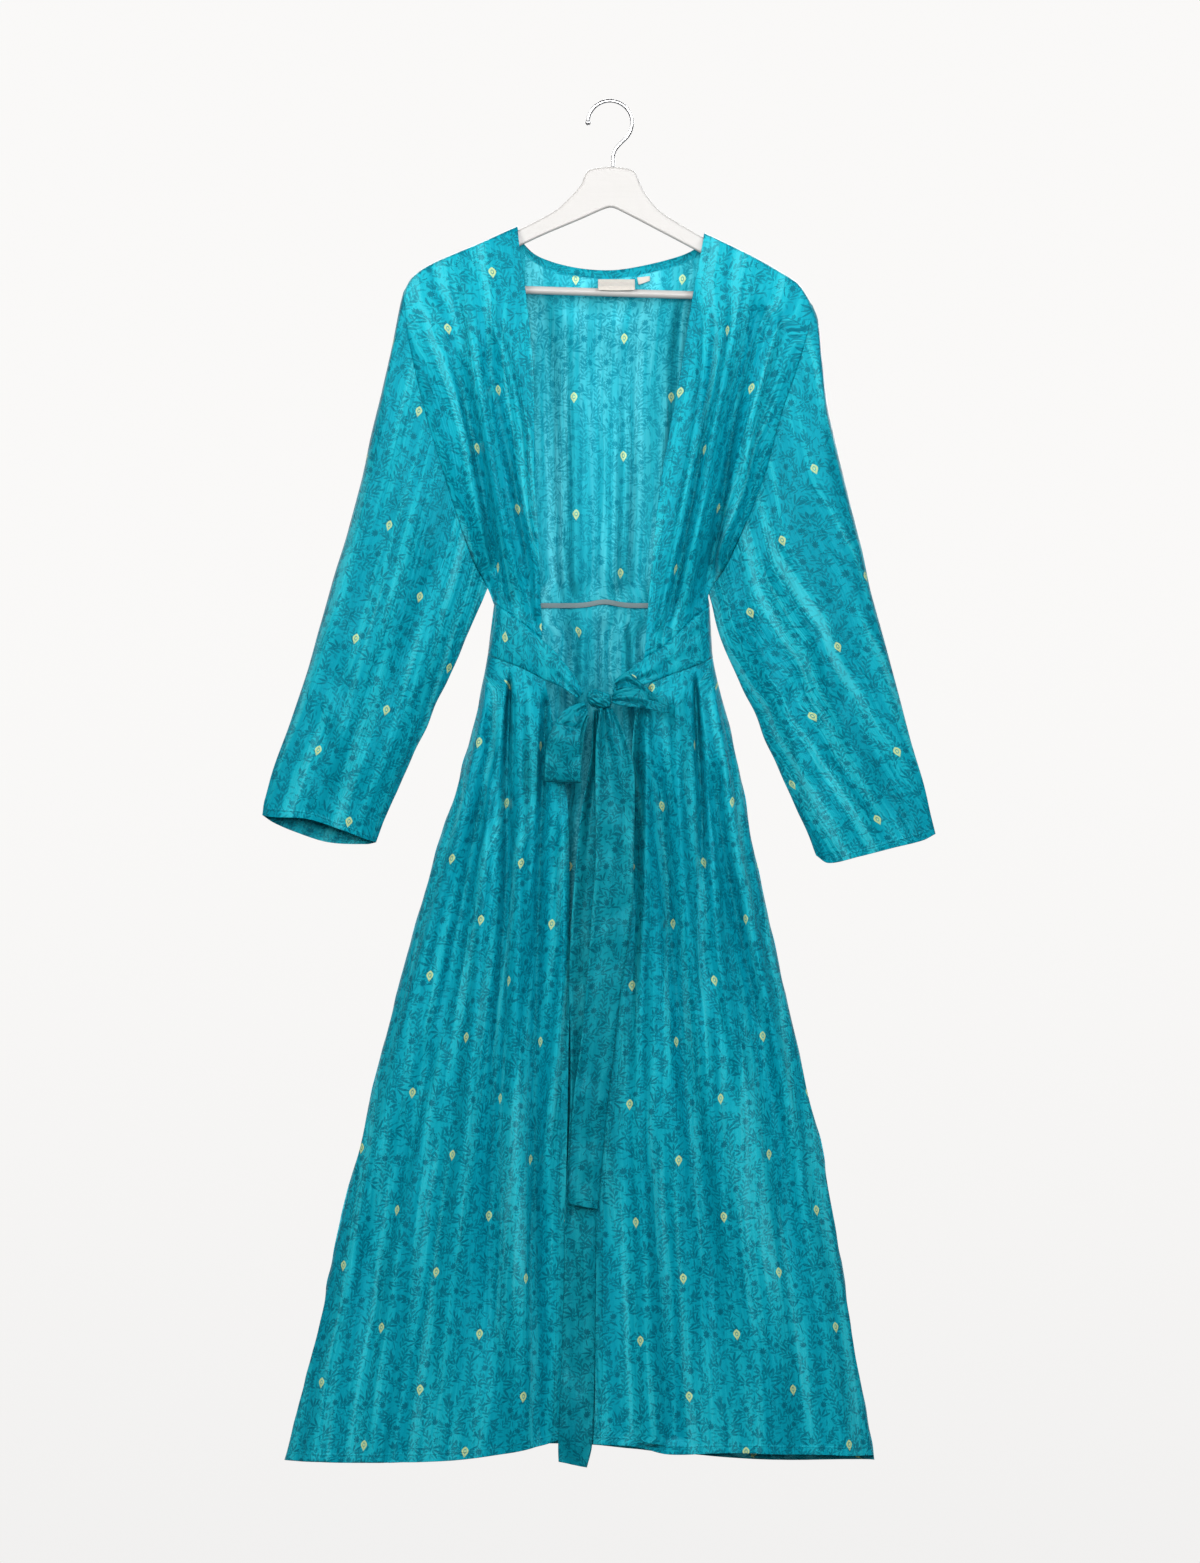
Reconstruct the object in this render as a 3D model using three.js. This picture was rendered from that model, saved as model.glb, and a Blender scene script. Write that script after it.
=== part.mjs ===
// Long wrap robe of thin silk on a wooden clothes hanger. Millimetres, +Z up, -Y to the front.
// Left and right are as seen from the front, so left is -X. The origin is the top of the hook's
// inside, where a rail carries it. Cloth walls are built from an outer sheet of points and an
// inner one moved in by the cloth's thickness.
import * as THREE from "three";

// Driving sizes
const CLOTH = 1.2; // wall of one layer of cloth
const TRIM = 1.0; // wall of tapes and labels
const SEAM = 0.3; // gap between pieces that meet
const HALF = SEAM / 2;
const SHOULDER_R = 9; // rounding of the cloth over the shoulder seam
const SEAM_FADE = 26; // distance over which folds die out into a waist seam
const ARM_THICK = 10; // hanger's arms, front to back
const WIRE_R = 2; // hook's wire
const HOOK_R = 23.5; // hook's bend, to the middle of the wire
const BAR_R = 4.3; // hanger's trouser bar
const NECK_BAND = 9; // width of the band round the back neck
const TAPE = 5.3; // width of the tape over the back waist seam
const BAND_WIDTH = 55; // width of the waistbands
const FRONT_WIDTH = 110; // width of a bodice front
const SLEEVE_LENGTH = 600;
const FRONT_SKIRT = 830; // length of the skirt's fronts
const BACK_SKIRT = 905; // length of the skirt's back
const AT_SEAM = 0.4; // depth of the cloth at the side and shoulder seams
const FRONT_FULL = 13; // how far the cloth stands out between its seams: bodice fronts,
const BACK_FULL = 12; // bodice back
const SLEEVE_FULL = 14; // and sleeves

const clamp = (a, lo, hi) => Math.min(Math.max(a, lo), hi);
const mix = (a, b, t) => a + (b - a) * t;
const steps = (n) => Array.from({ length: n + 1 }, (_, i) => i / n);
const smooth = (a) => {
  const t = clamp(a, 0, 1);
  return t * t * (3 - 2 * t);
};

// ---------- curves and tables ----------

// A smooth curve through points [a, b, ...], its parameter running 0 to 1 by chord length.
function through(points) {
  const at = [0];
  for (let i = 1; i < points.length; i++) {
    const step = Math.hypot(...points[i].map((a, k) => a - points[i - 1][k]));
    at.push(at[i - 1] + step);
  }
  const total = at[at.length - 1];
  const slope = (i, k) => {
    const a = Math.max(i - 1, 0);
    const b = Math.min(i + 1, points.length - 1);
    return (points[b][k] - points[a][k]) / (at[b] - at[a]);
  };
  const point = (t) => {
    const s = clamp(t, 0, 1) * total;
    let i = 0;
    while (i < points.length - 2 && s > at[i + 1]) i++;
    const h = at[i + 1] - at[i];
    const q = (s - at[i]) / h;
    const q2 = q * q;
    const q3 = q2 * q;
    return points[i].map(
      (a, k) =>
        a * (2 * q3 - 3 * q2 + 1) +
        points[i + 1][k] * (3 * q2 - 2 * q3) +
        slope(i, k) * h * (q3 - 2 * q2 + q) +
        slope(i + 1, k) * h * (q3 - q2),
    );
  };
  point.knot = (i) => at[i] / total;
  point.total = total;
  return point;
}

// Value of a column of a table whose rows are [key, column 1, column 2, ...], keys falling.
function lookup(table, key, column) {
  const last = table.length - 1;
  if (key >= table[0][0]) return table[0][column];
  if (key <= table[last][0]) return table[last][column];
  let i = 0;
  while (key < table[i + 1][0]) i++;
  const t = (table[i][0] - key) / (table[i][0] - table[i + 1][0]);
  return mix(table[i][column], table[i + 1][column], t);
}

// A flat patch [x, z] blended between four edges: top and bottom run with u, left and right with v.
function patch(top, bottom, left, right) {
  const corner = [top(0), top(1), bottom(0), bottom(1)];
  return (u, v) =>
    [0, 1].map(
      (k) =>
        mix(top(u)[k], bottom(u)[k], v) +
        mix(left(v)[k], right(v)[k], u) -
        mix(mix(corner[0][k], corner[1][k], u), mix(corner[2][k], corner[3][k], u), v),
    );
}

// Folds. Columns: x and z at the top end, x and z at the bottom end, half width at the top and the
// bottom end, height at the top and the bottom end (outwards is plus), and the lengths over which
// the fold rises at its top end and dies out at its bottom end.
function foldHeight(folds, x, z) {
  let sum = 0;
  for (const [x0, z0, x1, z1, w0, w1, h0, h1, rise, fall] of folds) {
    const t = (z0 - z) / (z0 - z1);
    const ends = smooth((z0 - z) / rise + 1) * smooth((z - z1) / fall + 1);
    if (ends === 0) continue;
    const q = (x - mix(x0, x1, t)) / mix(w0, w1, clamp(t, 0, 1));
    if (Math.abs(q) < 1) sum += (mix(h0, h1, clamp(t, 0, 1)) * ends * (1 + Math.cos(Math.PI * q))) / 2;
  }
  return sum;
}

// ---------- closed walls ----------

const minus = (a, b) => a.map((c, k) => c - b[k]);
const cross = (a, b) => [a[1] * b[2] - a[2] * b[1], a[2] * b[0] - a[0] * b[2], a[0] * b[1] - a[1] * b[0]];
const unit = (a) => {
  const length = Math.hypot(...a) || 1;
  return a.map((c) => c / length);
};

// Closed wall from a grid of outer points: rows along the piece, each with its points across.
// Seen from outside, rows run down and points run left to right. `ring` joins the last point of a
// row to the first. `plane` keeps inner points on their own side (-1 front, +1 back) of y = 0, and
// `keepOff(i, j)` gives the way (-1 left, +1 right) that an edge's inner point may move, or 0 for any.
function wall(grid, thick, { ring = false, plane = 0, keepOff = () => 0 } = {}) {
  const rows = grid.length;
  const cols = grid[0].length;
  const pick = (i, j) => grid[clamp(i, 0, rows - 1)][ring ? (j + cols) % cols : clamp(j, 0, cols - 1)];
  const inner = grid.map((row, i) =>
    row.map((p, j) => {
      const across = minus(pick(i, j + 1), pick(i, j - 1));
      const along = minus(pick(i + 1, j), pick(i - 1, j));
      const out = unit(cross(along, across));
      const q = p.map((c, k) => c - out[k] * thick);
      if (plane < 0) q[1] = Math.min(q[1], -HALF);
      if (plane > 0) q[1] = Math.max(q[1], HALF);
      if (keepOff(i, j) * (q[0] - p[0]) < 0) q[0] = p[0];
      return q;
    }),
  );
  const positions = [];
  const quad = (a, b, c, d) => positions.push(...a, ...b, ...c, ...a, ...c, ...d);
  const spans = ring ? cols : cols - 1;
  const next = (j) => (j + 1) % cols;
  for (let i = 0; i < rows - 1; i++) {
    for (let j = 0; j < spans; j++) {
      quad(grid[i][j], grid[i + 1][j], grid[i + 1][next(j)], grid[i][next(j)]);
      quad(inner[i][j], inner[i][next(j)], inner[i + 1][next(j)], inner[i + 1][j]);
    }
    if (!ring) {
      quad(inner[i][0], inner[i + 1][0], grid[i + 1][0], grid[i][0]);
      quad(grid[i][cols - 1], grid[i + 1][cols - 1], inner[i + 1][cols - 1], inner[i][cols - 1]);
    }
  }
  for (let j = 0; j < spans; j++) {
    quad(inner[0][j], grid[0][j], grid[0][next(j)], inner[0][next(j)]);
    quad(grid[rows - 1][j], inner[rows - 1][j], inner[rows - 1][next(j)], grid[rows - 1][next(j)]);
  }
  const geometry = new THREE.BufferGeometry();
  geometry.setAttribute("position", new THREE.Float32BufferAttribute(positions, 3));
  geometry.computeVertexNormals();
  return geometry;
}

// ---------- the garment's outline, front view ----------

// Side seams below the waist. Columns: z, x left, x right, front depth, back depth.
const BODY = [
  [-500, -130, 106, 36, 24],
  [-532, -123, 106, 38, 25],
  [-587, -130, 109, 41, 27],
  [-677, -149, 131, 43, 30],
  [-804, -187, 155, 44, 32],
  [-953, -228, 188, 45, 34],
  [-1122, -270, 227, 46, 36],
  [-1292, -309, 256, 46, 37],
  [-1442, -346, 281, 46, 38],
];

// Depth of the body's rounded section at x, z: side is -1 for the front and +1 for the back.
function bodyDepth(x, z, side) {
  const left = lookup(BODY, z, 1);
  const right = lookup(BODY, z, 2);
  const s = clamp((2 * x - left - right) / (right - left), -1, 1);
  return side * lookup(BODY, z, side < 0 ? 3 : 4) * Math.sqrt(1 - s * s);
}

const sideEdge = (column, top, bottom) => (v) => {
  const z = mix(top, bottom, v);
  return [lookup(BODY, z, column), z];
};

// Shoulder seams from the tip to the neck point, [x, z].
const SHOULDER_LEFT = [[-219.4, -201], [-210.4, -186], [-190.8, -172], [-137.8, -149], [-98.6, -131.4]];
const SHOULDER_RIGHT = [[215.5, -216], [200.3, -193], [179.4, -179], [151.3, -163], [100.3, -138.4]];

// Armhole seams from the shoulder tip to the underarm, [x, z, depth].
const ARMHOLE_LEFT = [
  [-219.4, -201, 0.4],
  [-219.3, -204, 6],
  [-219, -212, 9],
  [-213, -257, 12],
  [-196, -329, 16],
  [-174, -402, 16],
  [-146, -486, 9],
  [-130, -516, 0.4],
];
const ARMHOLE_RIGHT = [
  [215.5, -216, 0.4],
  [215.4, -219, 6],
  [215, -227, 9],
  [200, -279, 12],
  [181, -335, 16],
  [162, -402, 16],
  [126, -488, 9],
  [105, -522, 0.4],
];

// Upper and lower edges of the two waistbands, side seam to knot, [x, z]. The point at EDGE is the
// robe's front edge, and past it the band is a free tie.
const EDGE = 3;
const BAND_LEFT = {
  upper: [[-123, -532], [-113, -539], [-92, -554], [-72, -571], [-60, -582], [-48, -596], [-36, -612], [-28.5, -629]],
  lower: [[-130, -587], [-118, -592], [-92, -602], [-69, -614], [-51, -622], [-43, -627], [-34, -633]],
};
const BAND_RIGHT = {
  upper: [[106, -535], [90, -547], [60, -575], [36, -591], [22, -602], [12, -611], [3, -625]],
  lower: [[109, -590], [96, -597], [68, -607], [42, -617], [26, -623], [14, -630], [4, -636]],
};
const TIE_REACH = 10; // how much further forward a tie is at the knot than at the front edge

// Front edges of the bodice, from the neck point to the waistband, [x, z, depth].
const FRONT_LEFT = [
  [-98.6, -131.4, 0.4],
  [-98.4, -132.8, 5.5],
  [-97.6, -138, 9],
  [-96.1, -152.5, 10],
  [-89, -205, 12],
  [-81, -284, 16],
  [-79.5, -402, 26],
  [-75, -480, 32],
  [-72, -571, 36.5],
];
const FRONT_RIGHT = [
  [100.3, -138.4, 0.4],
  [100.1, -139.8, 5.5],
  [99.2, -145, 9],
  [96.5, -159.5, 10],
  [88, -203.5, 12],
  [75.3, -284, 16],
  [54, -402, 26],
  [45, -480, 32],
  [36, -591, 38],
];

// Front edges and hems of the skirt, [x, z].
const SKIRT_EDGE_LEFT = [[-69, -614], [-57, -677], [-45, -745], [-42.5, -880], [-44, -1020], [-49, -1270], [-53, -1417]];
const SKIRT_EDGE_RIGHT = [
  [42, -617], [31, -650], [27, -730], [23, -850], [10, -945], [-2, -1060], [-14, -1150], [-16, -1370], [-18, -1422],
];
const HEM_LEFT = [[-346, -1442], [-280, -1443], [-171, -1440], [-110, -1432], [-73, -1424], [-53, -1417]];
const HEM_RIGHT = [[281, -1437], [200, -1434], [120, -1432], [61, -1433], [28, -1425], [-18, -1422]];
const HEM_BACK = [[-346, -1442], [-190, -1438], [-70, -1425], [20, -1430], [160, -1440], [281, -1437]];

// Folds of the fronts. See foldHeight for the columns.
const FRONT_FOLDS = [
  // bodice, left
  [-162, -289, -117, -500, 13, 9, -8, -12, 70, 30],
  [-131, -268, -74, -533, 13, 9, -6, -8, 70, 30],
  [-142, -238, -106, -480, 13, 9, 7, 6, 50, 60],
  [-111, -195, -97, -262, 9, 8, 4, 4, 30, 60],
  [-92, -380, -84, -530, 10, 9, 5, 5, 60, 20],
  // bodice, right
  [166, -205, 105, -500, 15, 10, -9, -12, 30, 30],
  [163, -347, 116, -490, 11, 8, 8, 6, 60, 30],
  [112, -300, 85, -520, 15, 10, 6, 6, 80, 30],
  [88, -290, 66, -480, 10, 9, -5, -5, 50, 50],
  [62, -400, 48, -560, 9, 8, 5, 5, 60, 20],
  // skirt, left: a deep pleat under the band, then soft folds fanning out
  [-114, -600, -124, -800, 10, 18, -17, -12, 12, 60],
  [-124, -800, -136, -1290, 20, 40, -9, -5, 60, 150],
  [-93, -640, -97, -1300, 11, 20, 9, 7, 40, 140],
  [-82, -690, -73, -1060, 9, 15, -8, -8, 50, 120],
  [-56, -720, -54, -1060, 10, 12, 5, 5, 60, 120],
  [-137, -740, -142, -960, 14, 26, 7, 5, 60, 200],
  [-158, -820, -230, -1330, 16, 34, -6, -5, 80, 200],
  [-180, -860, -296, -1442, 20, 44, 4, 8, 80, 1],
  [-210, -1150, -215, -1442, 30, 36, 3, 7, 150, 1],
  // skirt, right
  [94, -600, 109, -770, 9, 14, -17, -12, 12, 60],
  [112, -780, 196, -1170, 17, 28, -8, -5, 60, 200],
  [76, -620, 78, -790, 11, 15, 8, 6, 20, 100],
  [58, -770, 62, -1000, 12, 18, -8, -7, 60, 60],
  [62, -1000, 112, -1230, 18, 28, -7, -4, 60, 150],
  [33, -700, 36, -1150, 9, 14, 6, 6, 60, 60],
  [36, -1150, 44, -1422, 14, 20, 6, 8, 60, 1],
  [140, -880, 232, -1437, 20, 42, 4, 8, 80, 1],
  [120, -1200, 142, -1434, 30, 34, 4, 8, 120, 1],
];

// Folds of the back, outwards plus.
const BACK_FOLDS = [
  [-120, -240, -92, -534, 15, 11, 6, 8, 60, 20],
  [-96, -240, -76, -534, 12, 9, -6, -7, 60, 20],
  [-66, -230, -58, -534, 15, 11, 5, 6, 50, 20],
  [-38, -210, -36, -534, 12, 9, -5, -6, 50, 20],
  [-14, -230, -16, -534, 12, 9, 4, 6, 50, 20],
  [6, -200, 4, -534, 11, 8, -5, -6, 50, 20],
  [34, -230, 26, -534, 15, 11, 5, 6, 50, 20],
  [64, -220, 46, -534, 12, 9, -5, -6, 50, 20],
  [94, -240, 68, -534, 15, 11, 6, 8, 60, 20],
  [124, -250, 86, -534, 13, 9, -6, -7, 60, 20],
  [-96, -570, -262, -1438, 12, 40, 7, 9, 30, 1],
  [-70, -560, -182, -1438, 9, 34, -6, -8, 20, 1],
  [-48, -560, -118, -1438, 10, 34, 6, 9, 20, 1],
  [-28, -560, -58, -1438, 8, 28, -6, -7, 20, 1],
  [-8, -560, -8, -1438, 9, 28, 6, 8, 20, 1],
  [14, -560, 52, -1438, 8, 28, -6, -7, 20, 1],
  [34, -560, 104, -1438, 10, 32, 6, 9, 20, 1],
  [58, -560, 162, -1438, 9, 32, -6, -8, 20, 1],
  [84, -570, 218, -1438, 12, 36, 7, 9, 30, 1],
];

// Places of the grid's columns across a front, from the side seam to the front edge: closer
// together at the side, where the section rounds.
const TURN = 0.62 * Math.PI;
const FRONT_COLUMNS = steps(16).map((t) => (1 - Math.cos(t * TURN)) / (1 - Math.cos(TURN)));

// Back waist seam: level, with a low hump where it is pulled up.
const waistBack = (x) => -534 + 4 * Math.exp(-(((x + 6) / 16) ** 2));

// ---------- bodice ----------

const flat = (points) => points.map(([x, z]) => [x, z]);
const roundOver = (d) => Math.sqrt(1 - (1 - clamp(d / SHOULDER_R, 0, 1)) ** 2);

// Rows of the bodice, as fractions of the way down: close together over the shoulder, with one at
// each underarm given.
const bodiceRows = (length, ...underarms) =>
  [0, 0.007, 0.016, 0.03, 0.09, 0.18, 0.28, 0.38, 0.48, 0.58, 0.68, 0.78, 0.88, ...underarms, 1 - SEAM / length];

// Front bodice. sign is -1 for the left one and +1 for the right one.
function bodiceFront(shoulder, armhole, frontEdge, band, sign) {
  const waist = band.upper[0];
  const sideSeam = through([...flat(armhole), waist]);
  const underarm = sideSeam.knot(armhole.length - 1);
  const armDepth = through(armhole);
  const edge = through(frontEdge);
  const bandTop = through(band.upper);
  const bottom = (u) => bandTop(u * bandTop.knot(EDGE));
  const frontView = patch(through(flat(shoulder)), bottom, sideSeam, (v) => edge(v));
  const at = (u, v) => {
    const [x, z] = frontView(u, v);
    const seamDepth = v < underarm ? armDepth(v / underarm)[2] : AT_SEAM;
    const fullness = FRONT_FULL * smooth(v / 0.3) * Math.sin(Math.PI * u);
    const upperBody = mix(seamDepth, edge(v)[2], smooth(u * 0.9)) + fullness;
    const overShoulder = SHOULDER_R * roundOver(v * edge.total);
    const nearest = u > 0.5 ? edge(v)[2] : seamDepth;
    const shoulder = mix(nearest, overShoulder, smooth(Math.min(u, 1 - u) * 14));
    const upper = mix(shoulder, upperBody, smooth(v / 0.12));
    const depth = mix(upper, -bodyDepth(x, z, -1), smooth((v - 0.72) / 0.26));
    const calm = smooth((1 - v) * 16 - 0.3) * smooth(v * 7) * smooth(u * 7);
    return [x, -Math.max(depth + foldHeight(FRONT_FOLDS, x, z) * calm, HALF), z];
  };
  const columns = FRONT_COLUMNS.map((u) => clamp(u, HALF / FRONT_WIDTH, 1));
  const rows = bodiceRows(edge.total, underarm);
  const grid = rows.map((v, i) =>
    columns.map((u, j) => {
      const p = at(u, v);
      if (i === 0) p[1] = -HALF;
      if (j === 0 && v >= underarm) p[1] = -HALF;
      return p;
    }),
  );
  const seamColumn = sign < 0 ? 0 : columns.length - 1;
  const keepOff = (i, j) => (j === seamColumn ? -sign : 0);
  return wall(sign < 0 ? grid : grid.map((row) => row.reverse()), CLOTH, { plane: -1, keepOff });
}

// Back neck curve from the left neck point to the right one, [x, z, depth behind].
const NECK_BACK = [
  [-98.6, -131.4, 0.4],
  [-98.2, -132.8, 5.5],
  [-96.4, -138, 9],
  [-90.5, -150.5, 12],
  [-75, -163, 14],
  [-40, -173.6, 16],
  [-1, -177, 17],
  [32, -172.8, 16],
  [74, -162.2, 14],
  [93, -153, 12],
  [98.7, -145, 9],
  [99.9, -139.8, 5.5],
  [100.3, -138.4, 0.4],
];

// Seam under the neck band, [x, z, depth], with a gap left above it. The band narrows to nothing
// at the neck points, where the gap is wider because both pieces turn over the hanger there.
const neckEdge = through(NECK_BACK);
function neckSeam(t, gap) {
  const [x, z, depth] = neckEdge(t);
  const end = Math.min(t, 1 - t);
  const drop = NECK_BAND * smooth(end / 0.07) + gap * mix(4, 1, smooth(end / 0.12));
  return [x, z - drop, Math.max(depth, SHOULDER_R * smooth(end / 0.02))];
}

// Places of the grid's columns across the back, from the left side to the right: two of them are
// the neck points, and the ones between lie along the neck curve.
const BACK_WIDTH = SHOULDER_RIGHT[0][0] - SHOULDER_LEFT[0][0];
const neckLeft = (NECK_BACK[0][0] - SHOULDER_LEFT[0][0]) / BACK_WIDTH;
const neckRight = (NECK_BACK[NECK_BACK.length - 1][0] - SHOULDER_LEFT[0][0]) / BACK_WIDTH;
const NECK_COLUMNS = [0.012, 0.028, 0.045, ...steps(14).slice(1, -1), 0.955, 0.972, 0.988];
const SHOULDER_COLUMNS = [0, 0.06, 0.2, 0.42, 0.7, 1];
const BACK_COLUMNS = [
  ...SHOULDER_COLUMNS.map((t) => t * neckLeft),
  ...NECK_COLUMNS.map((t) => mix(neckLeft, neckRight, t)),
  ...[...SHOULDER_COLUMNS].reverse().map((t) => 1 - t * (1 - neckRight)),
];

function bodiceBack() {
  const left = through(flat(SHOULDER_LEFT));
  const right = through(flat([...SHOULDER_RIGHT].reverse()));
  const neckAt = (u) => neckSeam((u - neckLeft) / (neckRight - neckLeft), SEAM);
  const top = (u) => {
    if (u <= neckLeft) return left(u / neckLeft);
    if (u >= neckRight) return right((u - neckRight) / (1 - neckRight));
    return neckAt(u);
  };
  const waistLeft = BODY[1][1];
  const waistRight = BODY[1][2];
  const bottom = (u) => {
    const x = mix(waistLeft, waistRight, u);
    return [x, waistBack(x)];
  };
  const side = (armhole, waist) => through([...flat(armhole), waist]);
  const sideLeft = side(ARMHOLE_LEFT, bottom(0));
  const sideRight = side(ARMHOLE_RIGHT, bottom(1));
  const underLeft = sideLeft.knot(ARMHOLE_LEFT.length - 1);
  const underRight = sideRight.knot(ARMHOLE_RIGHT.length - 1);
  const depthLeft = through(ARMHOLE_LEFT);
  const depthRight = through(ARMHOLE_RIGHT);
  const backView = patch(top, bottom, sideLeft, sideRight);
  const at = (u, v) => {
    const [x, z] = backView(u, v);
    const seamLeft = v < underLeft ? depthLeft(v / underLeft)[2] : AT_SEAM;
    const seamRight = v < underRight ? depthRight(v / underRight)[2] : AT_SEAM;
    const inNeck = u > neckLeft && u < neckRight;
    const overShoulder = SHOULDER_R * roundOver(v * sideLeft.total);
    const start = inNeck ? Math.max(neckAt(u)[2], overShoulder) : overShoulder;
    const fullness = BACK_FULL * smooth(v / 0.3) * Math.sin(Math.PI * u) ** 0.7;
    const body = mix(seamLeft, seamRight, u) + fullness;
    const upperBody = mix(start, Math.max(body, start * smooth(Math.min(u, 1 - u) * 9)), smooth(v / 0.14));
    const depth = mix(upperBody, bodyDepth(x, z, 1), smooth((v - 0.72) / 0.26));
    const calm = smooth((1 - v) * 16 - 0.3) * smooth(v * 6) * smooth(Math.min(u, 1 - u) * 10);
    return [x, Math.max(depth + foldHeight(BACK_FOLDS, x, z) * calm, HALF), z];
  };
  const columns = BACK_COLUMNS.map((u) => clamp(u, HALF / BACK_WIDTH, 1 - HALF / BACK_WIDTH));
  const rows = bodiceRows(sideLeft.total, underLeft, underRight);
  const grid = rows.map((v, i) =>
    columns.map((u, j) => {
      const p = at(u, v);
      const inNeck = u > neckLeft + 0.001 && u < neckRight - 0.001;
      if (i === 0 && !inNeck) p[1] = HALF;
      if (j === 0 && v >= underLeft) p[1] = HALF;
      if (j === columns.length - 1 && v >= underRight) p[1] = HALF;
      return p;
    }),
  );
  const keepOff = (i, j) => {
    if (j === 0) return -1;
    return j === columns.length - 1 ? 1 : 0;
  };
  return wall(grid.map((row) => row.reverse()), CLOTH, { plane: 1, keepOff });
}

// Band round the back neck, from its upper edge down to the bodice. It ends just short of the neck
// points, where the bodice turns over the hanger.
function neckBand() {
  const columns = NECK_COLUMNS.slice(2, -3);
  const upper = columns.map((t) => neckEdge(t));
  const lower = columns.map((t) => neckSeam(t, -SEAM));
  const grid = [upper, lower].map((row) => row.map(([x, z, depth]) => [x, depth, z]));
  return wall(grid.map((row) => row.reverse()), CLOTH, { plane: 1 });
}

// ---------- sleeves ----------

// Outer and inner edges of a sleeve from the armhole to the cuff, and the cuff's front and back
// edges from the outer to the inner end, [x, z] or [x, z, depth].
const SLEEVE_LEFT = {
  armhole: ARMHOLE_LEFT,
  waist: BAND_LEFT.upper[0],
  outer: [[-219.4, -201], [-223, -215], [-231, -253], [-245, -317], [-265, -402], [-312, -571], [-367, -741], [-369.5, -757]],
  inner: [[-130, -516], [-144, -550], [-163, -592], [-182, -635], [-210, -698], [-240, -762], [-248.5, -786]],
  cuffFront: [[-369.5, -757, 0], [-360, -759, 7], [-322, -761, 11], [-290, -771, 11], [-258, -783, 7], [-248.5, -786, 0]],
  cuffBack: [[-369.5, -757, 0], [-358, -765, 7], [-335, -775, 10], [-300, -786, 10], [-259, -788, 7], [-248.5, -786, 0]],
};
const SLEEVE_RIGHT = {
  armhole: ARMHOLE_RIGHT,
  waist: BAND_RIGHT.upper[0],
  outer: [[215.5, -216], [221, -231], [225, -275], [234, -338], [264, -465], [298, -592], [336, -735], [346, -777]],
  inner: [[105, -522], [119, -571], [138, -614], [157, -656], [174, -698], [194, -741], [219, -800]],
  cuffFront: [[346, -777, 0], [332, -784, 5], [300, -792, 7], [265, -801, 7], [232, -808, 5], [219, -800, 0]],
  cuffBack: [[346, -777, 0], [332, -783, 5], [300, -790, 7], [265, -799, 7], [232, -806, 5], [219, -800, 0]],
};

// Folds along a sleeve. Columns: place across (0 outer to 1 inner) at the armhole and at the cuff,
// half width, height, and the stretch down the sleeve that it covers.
const SLEEVE_FOLDS = [
  [0.16, 0.12, 0.09, 3.5, 0.1, 0.75],
  [0.34, 0.3, 0.1, -4, 0.05, 0.9],
  [0.55, 0.46, 0.1, 4.5, 0.08, 0.85],
  [0.76, 0.66, 0.1, -4, 0.1, 0.7],
  [0.9, 0.84, 0.08, 3, 0.2, 0.8],
];

function sleeveFold(u, v, side) {
  let sum = 0;
  for (const [u0, u1, width, height, from, to] of SLEEVE_FOLDS) {
    const q = (u - mix(u0, u1, v) - 0.03 * side) / width;
    const ends = smooth((v - from) / 0.15) * smooth((to + 0.2 - v) / 0.2);
    if (Math.abs(q) < 1) sum += (height * ends * (1 + Math.cos(Math.PI * q))) / 2;
  }
  return sum;
}

function sleeve(shape, sign) {
  const depthAt = through(shape.armhole);
  const seam = through([...flat(shape.armhole), shape.waist]);
  const underarm = seam.knot(shape.armhole.length - 1);
  const armhole = (u) => seam(u * underarm);
  const outer = through(shape.outer);
  const inner = through(shape.inner);
  const half = (side) => {
    const cuff = through(side < 0 ? shape.cuffFront : shape.cuffBack);
    const view = patch(armhole, cuff, outer, inner);
    return (u, v) => {
      const [x, z] = view(u, v);
      const round = Math.sqrt(Math.max(1 - (2 * u - 1) ** 2, 0));
      const seams = mix(depthAt(u)[2], cuff(u)[2], v);
      const body = SLEEVE_FULL * round * smooth(v / 0.22) * (1 - 0.8 * v ** 3);
      const folds = sleeveFold(u, v, side) * round;
      return [x, side * Math.max(seams + body + folds, HALF), z];
    };
  };
  const front = half(-1);
  const back = half(1);
  const around = 13;
  const spread = steps(around).map((t) => (1 - Math.cos(Math.PI * t)) / 2);
  const rows = [0, 0.03, 0.09, 0.18, 0.29, 0.41, 0.53, 0.65, 0.77, 0.88, 0.96, 1];
  const grid = rows.map((row) => {
    const v = clamp(row, HALF / SLEEVE_LENGTH, 1);
    const ring = [
      ...spread.map((u) => front(u, v)),
      ...spread.slice(1, -1).reverse().map((u) => back(u, v)),
    ];
    ring[0][1] = 0;
    ring[around][1] = 0;
    const shift = sign * 2 * SEAM * (1 - smooth(row / 0.1));
    const clear = ring.map(([x, y, z]) => [x + shift, y, z]);
    return sign < 0 ? clear : clear.reverse();
  });
  return wall(grid, CLOTH, { ring: true, keepOff: (i) => (i === 0 ? sign : 0) });
}

// ---------- waistbands and ties ----------

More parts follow.
